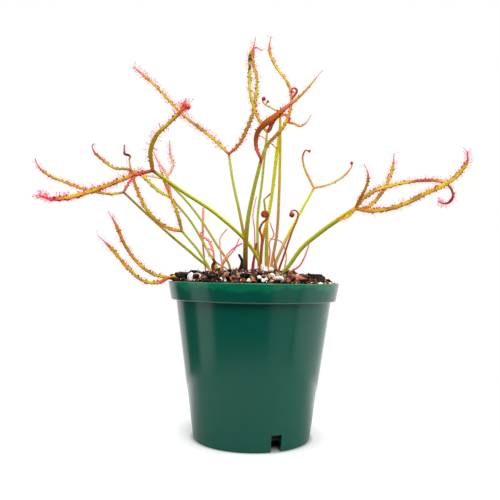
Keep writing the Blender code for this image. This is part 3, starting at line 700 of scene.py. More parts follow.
class SUNDEW_OT_pot(bpy.types.Operator):
    """Spin the pot's section, cut the drainage notches and break their edges"""

    bl_idname = "sundew.pot"
    bl_label = "Pot"

    def execute(self, context):
        sizes = context.scene.sundew_pot
        pot = spun("pot_moulding", pot_outline(sizes), 128)
        for notch in range(sizes.notches):
            self.cut_notch(pot, sizes, sizes.first_notch + notch * WHOLE_TURN / sizes.notches)
        hand_over(pot, plastic_finish(sizes), "pot_plastic", "pot", smooth=35)
        return {"FINISHED"}

    def cut_notch(self, pot, sizes, turn):
        below = 1 * MM
        reach = 9 * MM
        middle = Vector((math.sin(turn), -math.cos(turn), 0)) * sizes.base
        middle.z = (sizes.notch_height - below) / 2
        cutter = added(
            "notch_cutter", bpy.ops.mesh.primitive_cube_add, size=1, location=middle,
            rotation=(0, 0, turn), scale=(sizes.notch_width, reach, sizes.notch_height + below),
        )
        with editing(cutter):
            bpy.ops.mesh.bevel(offset=0.35 * MM, segments=3, affect="EDGES")
        combine(pot, cutter, "DIFFERENCE")


# -------------------- mix


def dip_at(x):
    """How far the mix has sunk on the right."""
    return bpy.context.scene.sundew_mix.dip * max(0, x / MIX_HIGH.x) ** 2


def mix_height(x, y):
    """Height of the domed mix, which falls from the middle to the rim."""
    fall = bpy.context.scene.sundew_mix.fall
    return MIX_HIGH.z - fall * (x * x + y * y) / MIX_HIGH.x**2 - dip_at(x)


class SUNDEW_OT_mix(bpy.types.Operator):
    """Spin the body of the potting mix and roughen its top"""

    bl_idname = "sundew.mix"
    bl_label = "Potting mix"

    def execute(self, context):
        pot = context.scene.sundew_pot
        gap = 0.3 * MM
        inset = pot.wall + gap
        edge = MIX_HIGH.x - gap
        sunk = 0.7 * MM
        rings = 70
        step = POT_HIGH.z - pot.rim_depth
        bend = 1.5 * MM
        outline = [(0, MIX_LOW.z), (pot.base - inset, MIX_LOW.z), (pot.body_top - inset, step - bend)]
        outline.append((pot.rim_foot - inset, step + bend))
        for radius in (edge * (1 - ring / rings) for ring in range(rings + 1)):
            outline.append((radius, mix_height(0, radius) - sunk))
        bed = spun("mix_bed", outline, 160)
        group = bed.vertex_groups.new(name="top")
        for point in bed.data.vertices:
            if point.co.z > step + 2 * MM and point.co.xy.length < edge - 0.5 * MM:
                group.add([point.index], 1.0, "REPLACE")
                point.co.z -= dip_at(point.co.x)
        for kind, size, height in (("CLOUDS", 5 * MM, 1.5 * MM), ("VORONOI", 2.2 * MM, 1.3 * MM)):
            displace(bed, kind, size, height, 0.5, direction="Z", vertex_group="top")
        finish = bark_finish(context.scene.sundew_mix, "mix_bark", 2.4 * MM, 0.2)
        hand_over(bed, finish, "potting_mix", "potting_mix", smooth=60)
        return {"FINISHED"}


def bark_template(seed):
    """A small angular flake of bark."""
    flake = added("flake", bpy.ops.mesh.primitive_cube_add, size=1)
    with editing(flake):
        bpy.ops.mesh.subdivide(number_cuts=1)
        bpy.ops.transform.resize(value=(1.0, 0.6, 0.26 + 0.07 * seed))
        bpy.ops.transform.vertex_random(offset=0.19, uniform=0.8, normal=0.1, seed=seed)
    return template_of(flake)


def grain_template(seed):
    """A small crumb of perlite."""
    grain = added("grain", bpy.ops.mesh.primitive_ico_sphere_add, subdivisions=2, radius=0.5)
    with editing(grain):
        bpy.ops.transform.resize(value=(1.0, 0.85, 0.72))
        bpy.ops.transform.vertex_random(offset=0.07, uniform=0.3, normal=0.6, seed=seed)
    return template_of(grain)


def fibre_template(seed):
    """A loose fibre of length 1 that turns a little on its way."""
    dice = random.Random(seed)
    moves = [(0.2, dice.uniform(-0.07, 0.07), dice.uniform(-0.06, 0.05)) for _ in range(5)]
    fibre = drawn_out("fibre", 5, 0.05, moves, 0.86, rotation=(0, math.pi / 2, 0))
    with editing(fibre):
        bpy.ops.transform.translate(value=(-0.5, 0, 0))
    return template_of(fibre)


# Crumbs that are set one by one: place and size in millimetres, and tint.
SET_BARK = (
    (-44.6, -10, 91.8, 6.0, 0.1), (-40.2, -12, 93.2, 4.6, 0.66), (-37.5, -14, 91.2, 6.0, 0.05),
    (-34.6, -12, 94.2, 4.2, 0.1), (-28, -24, 91.6, 6.0, 0.65), (-14, -32, 91.4, 6.0, 0.6),
    (-6, -36, 91.0, 6.0, 0.1), (8, -33, 91.4, 6.0, 0.5), (19.5, -40, 91.0, 6.0, 0.66),
    (25.0, -36, 91.3, 7.6, 0.7), (31, -32, 90.6, 5.0, 0.64), (33.2, -25, 90.9, 8.0, 0.08),
    (41.5, -14, 89.8, 4.6, 0.7), (21, -25, 93.0, 5.0, 0.64), (37.5, -25, 89.8, 4.0, 0.66),
)
SET_PERLITE = (
    (-32.2, -29, 92.0, 8.4, 0.1), (5.4, -10, 97.6, 6.8, 0.2), (9.4, -9, 97.2, 4.4, 0.5),
    (10.0, -21, 93.6, 5.0, 0.4), (12.3, -39, 90.9, 6.4, 0.4), (3.1, -39, 90.8, 4.0, 0.6),
    (24.4, -18, 93.6, 3.4, 0.2), (29.4, -35, 90.0, 4.4, 0.3), (14.8, -15, 94.0, 4.0, 0.5),
    (-20, -36, 90.8, 3.2, 0.3), (-24, -17, 93.6, 2.8, 0.4), (-8, -30, 92.6, 2.8, 0.6),
    (42.5, -17, 89.6, 3.0, 0.4), (19, -26, 92.6, 2.8, 0.3), (-13, -24, 94.0, 3.0, 0.5),
    (-39, -20, 90.6, 2.6, 0.2), (36, -30, 89.8, 2.8, 0.3), (17, -42, 90.2, 2.4, 0.6),
    (27, -30, 92.2, 2.6, 0.5), (22, -40, 90.8, 2.8, 0.2), (-26, -36, 90.6, 2.4, 0.6),
)


RARITY = 2.2  # the higher it is, the rarer are large crumbs
SMALL = 3 * MM  # only crumbs under this size can be of the palest tint
LARGE_TINT = 0.88


def strewn(count, sizes, tilt, lift, shapes, seed, chosen=()):
    """Places for crumbs on the mix, clear of the stalks and of the rim, after the chosen ones."""
    dice = random.Random(seed)
    crowns = [(Vector(leaf.crown) * MM, leaf.radii[0] * MM) for leaf in LEAVES.values()]
    edge = MIX_HIGH.x - 0.2 * MM
    places = []
    for x, y, z, size, tint in chosen:
        turn = Euler([dice.uniform(-most, most) for most in (0.9, 0.5, 0.6)])
        thick = shapes - 1 - dice.randrange(2)
        places.append((thick, turn.to_matrix() * size * MM, (x * MM, y * MM, z * MM), tint))
    while len(places) < count:
        size = sizes[0] + (sizes[1] - sizes[0]) * dice.random() ** RARITY
        reach = (edge - size * 0.45) * math.sqrt(dice.random())
        way = dice.uniform(0, WHOLE_TURN)
        x, y = reach * math.cos(way), reach * math.sin(way)
        if any((crown - Vector((x, y))).length < radius + size * 0.42 for crown, radius in crowns):
            continue
        turn = Euler([dice.uniform(low, high) for low, high in ((-tilt, tilt), (-tilt, tilt), (0, 6.28))])
        origin = (x, y, mix_height(x, y) + size * dice.uniform(*lift))
        tint = dice.random() * (1 if size < SMALL else LARGE_TINT)
        places.append((dice.randrange(shapes), turn.to_matrix() * size, origin, tint))
    return places


class SUNDEW_OT_crumbs(bpy.types.Operator):
    """Strew bark crumbs, perlite crumbs and fibres over the mix"""

    bl_idname = "sundew.crumbs"
    bl_label = "Crumbs on the mix"

    def execute(self, context):
        mix = context.scene.sundew_mix
        bark = [bark_template(seed) for seed in range(6)]
        places = strewn(mix.chips, (1.0 * MM, 4.7 * MM), 0.75, (-0.12, 0.18), len(bark), 11, SET_BARK)
        finish = bark_finish(mix, "crumb_bark", 1.1 * MM, 0.75)
        self.strew("bark_crumbs", bark, places, finish, "bark", 12)
        grains = [grain_template(seed) for seed in range(4)]
        places = strewn(mix.grains, (0.7 * MM, 2.6 * MM), 1.5, (0.0, 0.3), len(grains), 12, SET_PERLITE)
        self.strew("perlite_crumbs", grains, places, perlite_finish(mix, "crumb_perlite"), "perlite", 50)
        fibres = [fibre_template(seed) for seed in range(5)]
        places = strewn(mix.fibres, (2.5 * MM, 7.5 * MM), 0.45, (0.06, 0.2), len(fibres), 13)
        self.strew("loose_fibres", fibres, places, bark_finish(mix, "fibre_bark", 1.5 * MM, 1.0), "bark", 60)
        return {"FINISHED"}

    def strew(self, name, templates, places, finish, slot, smooth):
        crumbs = copied(name, templates, places)
        tinted(crumbs, [tint for key, _, _, tint in places for _ in templates[key][0]])
        hand_over(crumbs, finish, slot, smooth=smooth)


def nodes_of(kind):
    return sorted(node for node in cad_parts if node.startswith(kind))


def weathered(name, nodes, height, size):
    """A finer copy of some lumps, with a broken surface that follows their own shape."""
    copies = []
    for node in nodes:
        lump = bpy.data.objects.new(name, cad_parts[node].data.copy())
        bpy.context.collection.objects.link(lump)
        middle = sum((Vector(corner) for corner in lump.bound_box), Vector()) / 8
        with editing(lump):
            bpy.ops.transform.translate(value=(0, 0, -dip_at(middle.x)))
            bpy.ops.mesh.remove_doubles(threshold=0.01 * MM)
            bpy.ops.mesh.subdivide(number_cuts=4, smoothness=0.25)
        displace(lump, "VORONOI", size, height, 0.6)
        displace(lump, "CLOUDS", size / 3, height * 0.4, 0.6)
        copies.append(lump)
    piece = joined(name, copies)
    tinted(piece, [0.35] * len(piece.data.vertices))
    return piece


class SUNDEW_OT_lumps(bpy.types.Operator):
    """Break up the surface of the large bark chips and perlite grains"""

    bl_idname = "sundew.lumps"
    bl_label = "Bark chips and perlite grains"

    def execute(self, context):
        mix = context.scene.sundew_mix
        chips, grains = nodes_of("bark_chip"), nodes_of("perlite_grain")
        bark = weathered("bark_chips_rough", chips, 0.9 * MM, 2.6 * MM)
        hand_over(bark, bark_finish(mix, "chip_bark", 1.7 * MM, 0.6), "bark", *chips, smooth=28)
        white = weathered("perlite_grains_rough", grains, 0.5 * MM, 1.4 * MM)
        hand_over(white, perlite_finish(mix, "grain_perlite"), "perlite", *grains, smooth=60)
        return {"FINISHED"}


# -------------------- leaves

RING_SIDES = 14
RING_STEP = 0.55 * MM
FACING = np.array((0.15, -0.85, 0.5))  # the way that the hairy face of an arm looks
ARM_THREAD = 9 * MM  # how long the drawn-out end of an arm is
STALK_THREAD = 3 * MM  # the same of a stalk
KNOT_STEP = 3 * MM  # how often the width of an arm wavers
NARROWING = 0.87  # how far an arm that has a single radius narrows
TURN_STEPS = 10  # how many pieces a turn of a curl is drawn with
TURN_RISE = 0.4  # how far each turn of a curl comes forward, in millimetres
CROTCH = 2.4  # how far round a fork the skin is smoothed, in radii of the stalk
ROOTED = 4  # how deep a stalk stands in the mix, in millimetres


def unit(vectors):
    """A vector, or rows of them, drawn to length 1."""
    return vectors / np.linalg.norm(vectors, axis=-1, keepdims=True)


def eased(values, low, high):
    share = np.clip((values - low) / (high - low), 0, 1)
    return share * share * (3 - 2 * share)


def smooth_line(rows, step):
    """Closely set places on a smooth curve through the given ones."""
    gaps = np.linalg.norm(np.diff(rows, axis=0), axis=1)
    slopes = np.diff(rows, axis=0) / gaps[:, None]
    before, after = gaps[:-1, None], gaps[1:, None]
    inner = (slopes[:-1] * after + slopes[1:] * before) / (before + after)
    slopes = np.vstack((slopes[:1], inner, slopes[-1:]))
    line = []
    for here, there, gap, leaving, arriving in zip(rows, rows[1:], gaps, slopes, slopes[1:]):
        t = np.arange(0, 1, 1 / max(2, round(gap / step)))[:, None]
        line.append(
            (2 * t**3 - 3 * t**2 + 1) * here
            + (t**3 - 2 * t**2 + t) * gap * leaving
            + (3 * t**2 - 2 * t**3) * there
            + (t**3 - t**2) * gap * arriving
        )
    return np.vstack(line + [rows[-1:]])


def curled(route, curl):
    """The route with a flat spiral added, which starts the way the route ends."""
    start, end, turns, hand = curl
    heading = Vector(route[-1]) - Vector(route[-2])
    heading = Vector((heading.x, 0, heading.z)).normalized()
    aside = Vector((-heading.z, 0, heading.x)) * hand
    place, points = Vector(route[-1]), []
    steps = max(4, round(turns * TURN_STEPS))
    stride = turns * WHOLE_TURN / steps
    for share in ((step + 0.5) / steps for step in range(steps)):
        turned = share * turns * WHOLE_TURN
        ahead = heading * math.cos(turned) + aside * math.sin(turned)
        place = place + ahead * (start + (end - start) * share) * stride
        points.append((place.x, place.y - TURN_RISE * share * turns, place.z))
    return list(route) + points


class Strand:
    """A stalk or an arm: its sections, and how they are coloured from its foot to its tip."""

    def __init__(self, route, radii, tones, flatness, seed):
        self.places = smooth_line(np.array(route, float) * MM, RING_STEP)
        pace = np.linalg.norm(np.diff(self.places, axis=0), axis=1)
        self.arc = np.concatenate(([0], np.cumsum(pace)))
        whole = self.arc[-1]
        is_arm = flatness < 1
        thread = min(ARM_THREAD if is_arm else STALK_THREAD, whole * 0.5)
        if is_arm:
            body = eased(whole - self.arc, 0.25 * thread, 1.1 * thread)
            self.radius = (radii[-1] + (self.spread(radii[:-1]) - radii[-1]) * body) * MM
        else:
            self.radius = self.spread(radii) * MM
        self.blade = eased(self.arc, -1 * MM, 4 * MM) * is_arm
        self.tip = eased(whole - self.arc, thread, 0) * is_arm
        self.frames(seed)
        knots = np.arange(0, whole + KNOT_STEP, KNOT_STEP)
        wobble = np.interp(self.arc, knots, np.random.default_rng(seed).uniform(-1, 1, len(knots)))
        self.half = self.radius * (1 + 0.10 * self.blade + 0.07 * wobble * (0.3 + self.blade))
        self.thick = self.radius * (1 - (1 - flatness) * self.blade)
        inner = np.linspace(min(5 * MM, whole * 0.3), whole - thread, max(0, len(tones) - 2))
        stops = [0, *inner, whole - thread * 0.55][:len(tones)]
        # Hairs crowd at a blunt end. Under 0.05, the end is so thin that it bears few.
        self.crowding = min(0.2, radii[-1] - 0.3)
        self.grown = np.column_stack([np.interp(self.arc, stops, part) for part in zip(*tones)])

    def spread(self, values):
        """Some values at each section, evenly spread from the foot to the tip."""
        return np.interp(self.arc, np.linspace(0, self.arc[-1], len(values)), values)

    def frames(self, seed):
        """Directions along each section, across it, and the way its face looks."""
        self.along = unit(np.gradient(self.places, axis=0))
        dice = np.random.default_rng(seed + 1)
        turn, drift = dice.uniform(-0.5, 0.5), dice.uniform(-12, 12)
        facing = FACING
        faces = []
        for direction, arc in zip(self.along, self.arc):
            wanted = FACING + 0.35 * math.sin(turn + drift * arc) * np.cross(direction, FACING)
            facing = facing * 0.9 + wanted * 0.1
            facing = unit(facing - direction * (facing @ direction))
            faces.append(facing)
        self.facing = np.array(faces)
        self.across = np.cross(self.along, self.facing)

    def mesh(self, name):
        """The strand as one closed tube of flattened rings, shallowly grooved on its face."""
        angles = np.arange(RING_SIDES) * WHOLE_TURN / RING_SIDES
        groove = 1 - 0.35 * np.clip(np.sin(angles), 0, 1)[None, :] ** 4 * self.blade[:, None]
        aside = np.cos(angles)[None, :, None] * self.half[:, None, None]
        lift = (np.sin(angles)[None, :] * self.thick[:, None] * groove)[:, :, None]
        rings = self.places[:, None] + self.across[:, None] * aside + self.facing[:, None] * lift
        ends = self.places[[0, -1]] + self.along[[0, -1]] * self.radius[[0, -1], None] * [[-0.3], [0.8]]
        first = len(rings) * RING_SIDES
        final = first - RING_SIDES
        sides = np.arange(RING_SIDES)
        after = (sides + 1) % RING_SIDES
        start = np.arange(0, final, RING_SIDES)[:, None]
        corners = (start + sides, start + after, start + after + RING_SIDES, start + sides + RING_SIDES)
        faces = np.stack(corners, axis=2).reshape(-1, 4).tolist()
        for side, other in zip(sides.tolist(), after.tolist()):
            faces += [(first, other, side), (first + 1, final + side, final + other)]
        piece = from_mesh(name, np.vstack((rings.reshape(-1, 3), ends)).tolist(), [], faces)
        with editing(piece):
            face_outward()
        return piece


def strands_of(leaf, settings, seed):
    """A leaf's strands: its stalk, then each arm from the fork or from its own start."""
    x, y = leaf.crown
    top = mix_height(x * MM, y * MM) / MM
    route = [(x, y, top - ROOTED), (x, y, top + 1)] + leaf.stalk
    stems = [(leaf, route, leaf.radii, leaf.colours, 1)]
    fork_colour = leaf.colours.split()[-1]
    for arm in leaf.arms:
        route = [arm.start or leaf.stalk[-1]] + arm.route
        colours = arm.colours if arm.start else f"{fork_colour} {arm.colours}"
        widths = arm.radius if isinstance(arm.radius, tuple) else (arm.radius, arm.radius * NARROWING)
        stems.append((arm, route, (*widths, arm.tip), colours, settings.flatness))
    strands = []
    for order, (part, route, radii, colours, flatness) in enumerate(stems):
        tones = [tuple(getattr(settings, name)) for name in colours.split()]
        knob_tone = tones.pop() if part.knob else None
        if len(tones) == 3:  # a single middle colour holds for most of the way
            tones.insert(1, tones[1])
        route = curled(route, part.curl) if part.curl else route
        strand = Strand(route, radii, tones, flatness, seed + order)
        if part.knob:
            strand.grown[strand.arc > strand.arc[-1] - part.knob * MM] = knob_tone
        strands.append(strand)
    return strands


def knob_at(place, radius):
    """The rolled-up end of an arm."""
    ball = {"segments": 16, "ring_count": 10, "radius": radius, "location": place}
    knob = added("knob", bpy.ops.mesh.primitive_uv_sphere_add, **ball)
    bpy.ops.object.transform_apply(location=True, rotation=True, scale=True)
    return knob


def paint(piece, strands):
    """Writes each vertex's grown colour and marks from the nearest section of the strands."""
    places, across, half, grown, blade = (
        np.concatenate([getattr(strand, name) for strand in strands])
        for name in ("places", "across", "half", "grown", "blade")
    )
    tree = kdtree.KDTree(len(places))
    for index, place in enumerate(places):
        tree.insert(place, index)
    tree.balance()
    points = np.array([point.co for point in piece.data.vertices])
    nearest = np.array([tree.find(point)[1] for point in points])
    edge = np.abs(((points - places[nearest]) * across[nearest]).sum(1)) / half[nearest]
    zeros, ones = np.zeros(len(points)), np.ones(len(points))
    colours = {
        "grown": (*grown[nearest].T, ones),
        "marks": (blade[nearest], np.clip(edge, 0, 1), zeros, ones),
    }
    for name, parts in colours.items():
        layer = piece.data.attributes.new(name, "FLOAT_COLOR", "POINT")
        layer.data.foreach_set("color", np.column_stack(parts).ravel().astype(np.float32))


def leaf_slot(leaf):
    """The slot of the colour that most of a leaf has."""
    colours = (leaf.arms[-1] if leaf.arms else leaf).colours.split()
    most = colours[len(colours) // 2]
    return next(slot for slot, names in LEAF_SLOTS.items() if most in names.split())


class SUNDEW_OT_leaves(bpy.types.Operator):
    """Grow each leaf along its route, join its arms at the fork and colour it"""

    bl_idname = "sundew.leaves"
    bl_label = "Leaves"

    def execute(self, context):
        settings = context.scene.sundew_leaves
        skin = leaf_finish(settings)
        for order, (name, leaf) in enumerate(LEAVES.items()):
            strands = strands_of(leaf, settings, 100 * order)
            piece = strands[0].mesh(f"{name}_grown")
            for strand in strands[1:]:
                combine(piece, strand.mesh("arm"), "UNION")
            for strand, part in zip(strands, (leaf, *leaf.arms)):
                if part.knob:
                    combine(piece, knob_at(strand.places[-1], part.knob * MM), "UNION")
            if leaf.arms:
                self.soften(piece, Vector(leaf.stalk[-1]) * MM, leaf.radii[1] * CROTCH * MM)
            paint(piece, strands)
            hand_over(piece, skin, leaf_slot(leaf), name, smooth=70)
        return {"FINISHED"}

    def soften(self, piece, fork, reach):
        """Rounds the crotch of a fork."""
        with editing(piece):
            bpy.ops.mesh.select_mode(type="VERT")
            bpy.ops.mesh.select_all(action="DESELECT")
            bpy.ops.object.mode_set(mode="OBJECT")
            for point in piece.data.vertices:
                point.select = (point.co - fork).length < reach
            bpy.ops.object.mode_set(mode="EDIT")
            bpy.ops.mesh.vertices_smooth(factor=0.5, repeat=5)


# -------------------- gland hairs

# Each kind's length, stalk radius, gland radius and range of tints.
HAIRS = {
    "long": (2.6 * MM, 0.10 * MM, 0.21 * MM, (0.0, 0.55)),
    "short": (0.8 * MM, 0.12 * MM, 0.22 * MM, (0.6, 0.95)),
    "stub": (0.46 * MM, 0.22 * MM, 0.39 * MM, (0.92, 1.0)),
}
HAIR_START = 3.5 * MM  # where the hairs begin on an arm
HAIR_SUNK = 0.12 * MM  # how deep a hair's foot stands in the skin
EDGE_SHARE = 0.86  # how many of the hairs stand on the two edges of an arm
STUB_SHARE = 0.27  # how many of those are stubs


def hair_template(reach, width, gland):
    """A bent hair with its gland: its points, its faces, and their corners on the hair map."""
    steps = 3
    moves = [(reach * 0.05 * (step + 0.5), 0, reach / steps) for step in range(steps)]
    hair = drawn_out("hair", 4, width, moves, 0.82)
    tip = max((point.co for point in hair.data.vertices), key=lambda place: place.z).copy()
    ball = {"subdivisions": 1, "radius": gland, "location": tip}
    end = added("gland", bpy.ops.mesh.primitive_ico_sphere_add, **ball)
    with editing(end):
        bpy.ops.transform.resize(value=(0.9, 0.9, 1.2))
    hair = joined("hair", (hair, end))
    corners = []
    top = max(point.co.z for point in hair.data.vertices)
    for face in hair.data.polygons:
        slant = math.atan2(face.center.y, face.center.x - 0.1 * face.center.z) / WHOLE_TURN % 1
        for order, index in enumerate(face.vertices):
            along = 0.02 + 0.96 * hair.data.vertices[index].co.z / top
            corners.append((along, 0.03 + 0.05 * slant + 0.02 * (order % 3)))
    return *template_of(hair), np.array(corners)


def hair_places(strand, arm, share, dice):
    """Places for the hairs of one arm: (kind, matrix, root, tint)."""
    places = []
    whole = strand.arc[-1]
    stretch = max(0, whole - HAIR_START)
    for _ in range(round(arm.hairs * share * stretch / MM)):
        arc = HAIR_START + dice.random() * stretch
        if dice.random() < strand.crowding:
            arc = whole - dice.random() * min(6 * MM, stretch)
        index = min(int(np.searchsorted(strand.arc, arc)), len(strand.arc) - 1)
        tip = strand.tip[index]
        if strand.crowding < 0.05 and dice.random() < tip * 0.8:
            continue
        chance = dice.random()
        if chance < EDGE_SHARE:
            slant = dice.gauss(0.15, 0.3)
            slant = math.pi - slant if chance < EDGE_SHARE / 2 else slant
            kind = "stub" if dice.random() < STUB_SHARE - tip else "long"
        else:
            slant = math.pi / 2 + dice.gauss(0, 0.55)
            kind = "short"
        across, facing, along = strand.across[index], strand.facing[index], strand.along[index]
        root = strand.places[index] + (
            across * (strand.half[index] - HAIR_SUNK) * math.cos(slant)
            + facing * (strand.thick[index] - HAIR_SUNK) * math.sin(slant)
        )
        lean = dice.gauss(0.2, 0.35) + tip * 0.5
        out = unit(across * math.cos(slant) + facing * math.sin(slant) + along * lean)
        bend = along * dice.uniform(-0.4, 1) + facing * dice.uniform(0, 1) + across * dice.uniform(-0.4, 0.4)
        bend = unit(bend - out * (bend @ out))
        size = dice.uniform(0.7, 1.2) * (0.6 + 0.35 * strand.half[index] / MM)
        if kind == "long":
            size = arm.hair_length * dice.uniform(0.5, 1.2) * (1 + 0.3 * tip) * MM / HAIRS["long"][0]
        tint = dice.uniform(*HAIRS[kind][3])
        if kind == "long":
            tint += (0.7 - tint) * 0.8 * tip
        places.append((kind, np.column_stack((bend, np.cross(out, bend), out)) * size, root, tint))
    return places


class SUNDEW_OT_hairs(bpy.types.Operator):
    """Set the gland hairs along the edges and the face of every arm"""

    bl_idname = "sundew.hairs"
    bl_label = "Gland hairs"

    def execute(self, context):
        settings = context.scene.sundew_leaves
        finish = hair_finish(settings)
        templates = {kind: hair_template(*sizes[:3]) for kind, sizes in HAIRS.items()}
        for order, (name, leaf) in enumerate(LEAVES.items()):
            dice = random.Random(order + 500)
            strands = strands_of(leaf, settings, 100 * order)
            places = []
            for strand, arm in zip(strands[1:], leaf.arms):
                places += hair_places(strand, arm, settings.hair_share, dice)
            if places:
                hairs = copied(f"{name}_hairs", templates, places)
                corners = [templates[kind][2] + (0, tint * 0.85) for kind, _, _, tint in places]
                layer = hairs.data.uv_layers.new(name=HAIR_MAP)
                layer.data.foreach_set("uv", np.vstack(corners).ravel().astype(np.float32))
                hand_over(hairs, finish, "leaf_pink", smooth=80)
        return {"FINISHED"}


# -------------------- caught gnats

# Each gnat's place and length in millimetres, and its turn about the way that it faces.
GNATS = {
    "caught_gnat_left": ((-111.8, -22.6, 135.6), 2.0, 0.2),
    "caught_gnat_high": ((-4.5, 17.8, 231.4), 4.1, -1.5),
    "caught_gnat_low": ((-4.6, 17.8, 225.2), 3.2, -1.7),
}
# Place and half sizes of its abdomen, thorax and head, for a body of length 1.
GNAT_BODY = (
    ((-0.16, 0, 0), (0.34, 0.25, 0.25)),
    ((0.16, 0, 0), (0.20, 0.24, 0.23)),
    ((0.38, 0, -0.03), (0.13, 0.14, 0.13)),
)


class SUNDEW_OT_gnats(bpy.types.Operator):
    """Stick the caught gnats to the leaves"""

    bl_idname = "sundew.gnats"
    bl_label = "Caught gnats"

    def execute(self, context):
        shell = gnat_finish()
        for order, (name, (place, size, turn)) in enumerate(GNATS.items()):
            dice = random.Random(order + 40)
            parts = [self.blob(*ball) for ball in GNAT_BODY] + [self.leg(dice) for _ in range(6)]
            gnat = joined(name, parts)
            gnat.location = Vector(place) * MM
            gnat.rotation_euler = (0, turn, 0)
            gnat.scale = (size * MM,) * 3
            bpy.ops.object.transform_apply(location=True, rotation=True, scale=True)
            hand_over(gnat, shell, "leaf_dead", smooth=60)
        return {"FINISHED"}

    def blob(self, place, size):
        """A bumpy ball that is drawn out."""
        ball = {"subdivisions": 3, "radius": 1, "location": place, "scale": size}
        part = added("blob", bpy.ops.mesh.primitive_ico_sphere_add, **ball)
        bpy.ops.object.transform_apply(location=True, rotation=True, scale=True)
        with editing(part):
            bpy.ops.transform.vertex_random(offset=0.02, seed=3)
        return part

    def leg(self, dice):
        way = Vector((dice.uniform(-1, 1), dice.uniform(-1, 0.4), dice.uniform(-1, 1))).normalized()
        moves = [(way + Vector((0, 0, drop))) * 0.19 for drop in (0.2, -0.1, -0.5)]
        return drawn_out("leg", 5, 0.03, moves, 0.8)


# -------------------- stage

MIDDLE = (0, 0, 0.10)
BELOW = (0, 0, -0.05)
# Each light's place, the point that it looks at, its width and height, and its power in watts.
LIGHTS = {
    "overhead": ((-0.03, -0.20, 0.85), MIDDLE, (0.9, 0.9), 9.5),
    "front_fill": ((0.15, -0.70, 0.68), MIDDLE, (0.5, 0.4), 4.2),
    "floor_wash": ((0, 0.45, 0.75), (0, 0.25, 0), (0.9, 0.5), 2.4),
    "left_wash": ((-0.70, -0.15, 0.45), MIDDLE, (0.5, 0.5), 2.2),
    "right_wash": ((0.70, -0.15, 0.45), MIDDLE, (0.5, 0.5), 2.2),
    "left_box": ((-0.60, -0.14, -0.05), BELOW, (0.32, 0.75), 0.75),
    "right_box": ((0.58, 0.07, -0.05), BELOW, (0.66, 0.75), 1.4),
    "right_bounce": ((0.42, -0.45, -0.05), BELOW, (0.40, 0.75), 0.42),
}


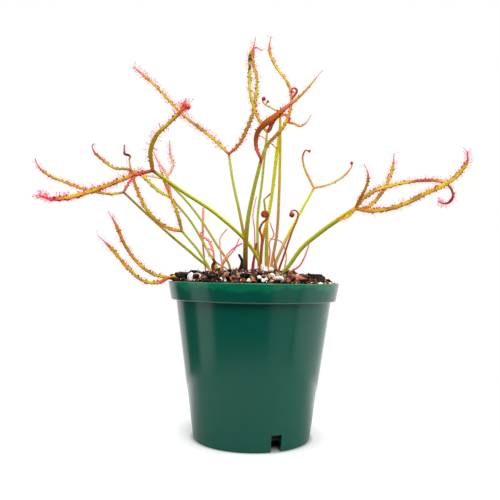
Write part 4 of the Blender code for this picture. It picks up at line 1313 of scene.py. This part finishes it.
class SUNDEW_OT_stage(bpy.types.Operator):
    """Lay the pale floor and set the soft lights, the bright surroundings and the camera"""

    bl_idname = "sundew.stage"
    bl_label = "Floor, lights and camera"

    def execute(self, context):
        stage = context.scene.sundew_stage
        self.lay_floor(stage.floor_radius, context.scene.sundew_pot.base)
        self.light_world(context)
        for name, light in LIGHTS.items():
            self.soft_box(name, *light)
        camera = added("portrait_camera", bpy.ops.object.camera_add)
        camera.data.sensor_width = 36
        camera.data.lens = stage.lens
        tilt = Matrix.Rotation(math.pi / 2 + stage.camera_pitch, 4, "X")
        roll = Matrix.Rotation(stage.camera_roll, 4, "Z")
        place = Vector((stage.camera_side, -stage.camera_distance, stage.camera_height))
        camera.matrix_world = Matrix.Translation(place) @ tilt @ roll
        camera.data.clip_start = 0.01
        context.scene.camera = camera
        context.scene.view_settings.view_transform = "Standard"
        return {"FINISHED"}

    def soft_box(self, name, place, aim, size, power):
        light = added(name, bpy.ops.object.light_add, type="AREA", location=place)
        light.data.shape = "RECTANGLE"
        light.data.size, light.data.size_y = size
        light.data.energy = power
        light.rotation_euler = (Vector(aim) - Vector(place)).to_track_quat("-Z", "Y").to_euler()

    def lay_floor(self, radius, foot):
        """A sheet of paper with a painted contact shadow round the pot's foot, and painted light where the
        pot mirrors it: darker in front, brighter behind.
        """
        disc = {"vertices": 96, "radius": radius, "fill_type": "NGON"}
        floor = added("pale_floor", bpy.ops.mesh.primitive_circle_add, **disc)
        paper = Finish("floor_paper", {"Roughness": 0.9, "Specular IOR Level": 0.0})
        sheet = paper.mix(paper.noise(0.8 * MM, 3.0), (0.90, 0.90, 0.905), (0.93, 0.93, 0.93))
        across, depth, _ = paper.parts(paper.places())
        reach = (across * across + depth * depth) ** 0.5
        # Painted contact shadow: the paper that the camera sees is darkened round the pot's foot, most at
        # the foot and fading out within 28 mm.
        painted_shadow_halo, painted_contact_shadow = reach.between(foot, foot + 28 * MM), reach.between(foot, foot + 3 * MM)
        sheet = paper.mix(0.48 + painted_contact_shadow * 0.34 + painted_shadow_halo * 0.18, (0, 0, 0), sheet)
        # Painted light: in the pot's reflections and in bounce light the paper is dark in front and brighter
        # towards the back, as if the back light fell there.
        painted_backlit_paper = paper.mix(depth.between(-0.02, 0.07), (0.36, 0.36, 0.36), (0.9, 0.9, 0.9))
        seen = paper.node("ShaderNodeLightPath", output="Is Camera Ray")
        paper.feed("Base Color", paper.mix(seen, painted_backlit_paper, sheet))
        floor.data.materials.append(paper.block)

    def light_world(self, context):
        """White behind the plant and to the eye, and dim in front, where a studio is dark."""
        world = bpy.data.worlds.new("studio")
        context.scene.world = world
        finish = Finish("studio", {"Strength": 1.0}, world)
        depth = finish.parts(finish.node("ShaderNodeTexCoord", output="Generated"))[1]
        glow = finish.mix(0.035 + depth.between(0.60, 0.68) * 1.9, (0, 0, 0), (1, 1, 1))
        seen = finish.node("ShaderNodeLightPath", output="Is Camera Ray")
        finish.feed("Color", finish.mix(seen, glow, (1, 1, 1)))


# -------------------- panel


class SUNDEW_PT_panel(bpy.types.Panel):
    """The steps that build the plant, in order"""

    bl_idname = "SUNDEW_PT_panel"
    bl_label = "Potted Sundew"
    bl_space_type = "VIEW_3D"
    bl_region_type = "UI"
    bl_category = "Sundew"

    def draw(self, context):
        for step in STEPS:
            self.layout.operator(step.bl_idname)
        for group in GROUPS:
            settings = getattr(context.scene, group)
            box = self.layout.box()
            for name in settings.__annotations__:
                box.prop(settings, name)


GROUPS = {
    "sundew_pot": SundewPot, "sundew_mix": SundewMix, "sundew_leaves": SundewLeaves,
    "sundew_stage": SundewStage,
}
STEPS = (
    SUNDEW_OT_stage, SUNDEW_OT_pot, SUNDEW_OT_mix, SUNDEW_OT_crumbs, SUNDEW_OT_lumps,
    SUNDEW_OT_leaves, SUNDEW_OT_hairs, SUNDEW_OT_gnats,
)


def register():
    for name, group in GROUPS.items():
        bpy.utils.register_class(group)
        setattr(bpy.types.Scene, name, PointerProperty(type=group))
    for item in (*STEPS, SUNDEW_PT_panel):
        bpy.utils.register_class(item)


def unregister():
    for item in reversed((*STEPS, SUNDEW_PT_panel)):
        bpy.utils.unregister_class(item)
    for name, group in reversed(GROUPS.items()):
        delattr(bpy.types.Scene, name)
        bpy.utils.unregister_class(group)


def main():
    register()
    bpy.ops.sundew.stage()
    bpy.ops.sundew.pot()
    bpy.ops.sundew.mix()
    bpy.ops.sundew.crumbs()
    bpy.ops.sundew.lumps()
    bpy.ops.sundew.leaves()
    bpy.ops.sundew.hairs()
    bpy.ops.sundew.gnats()


if __name__ == "__main__":
    main()
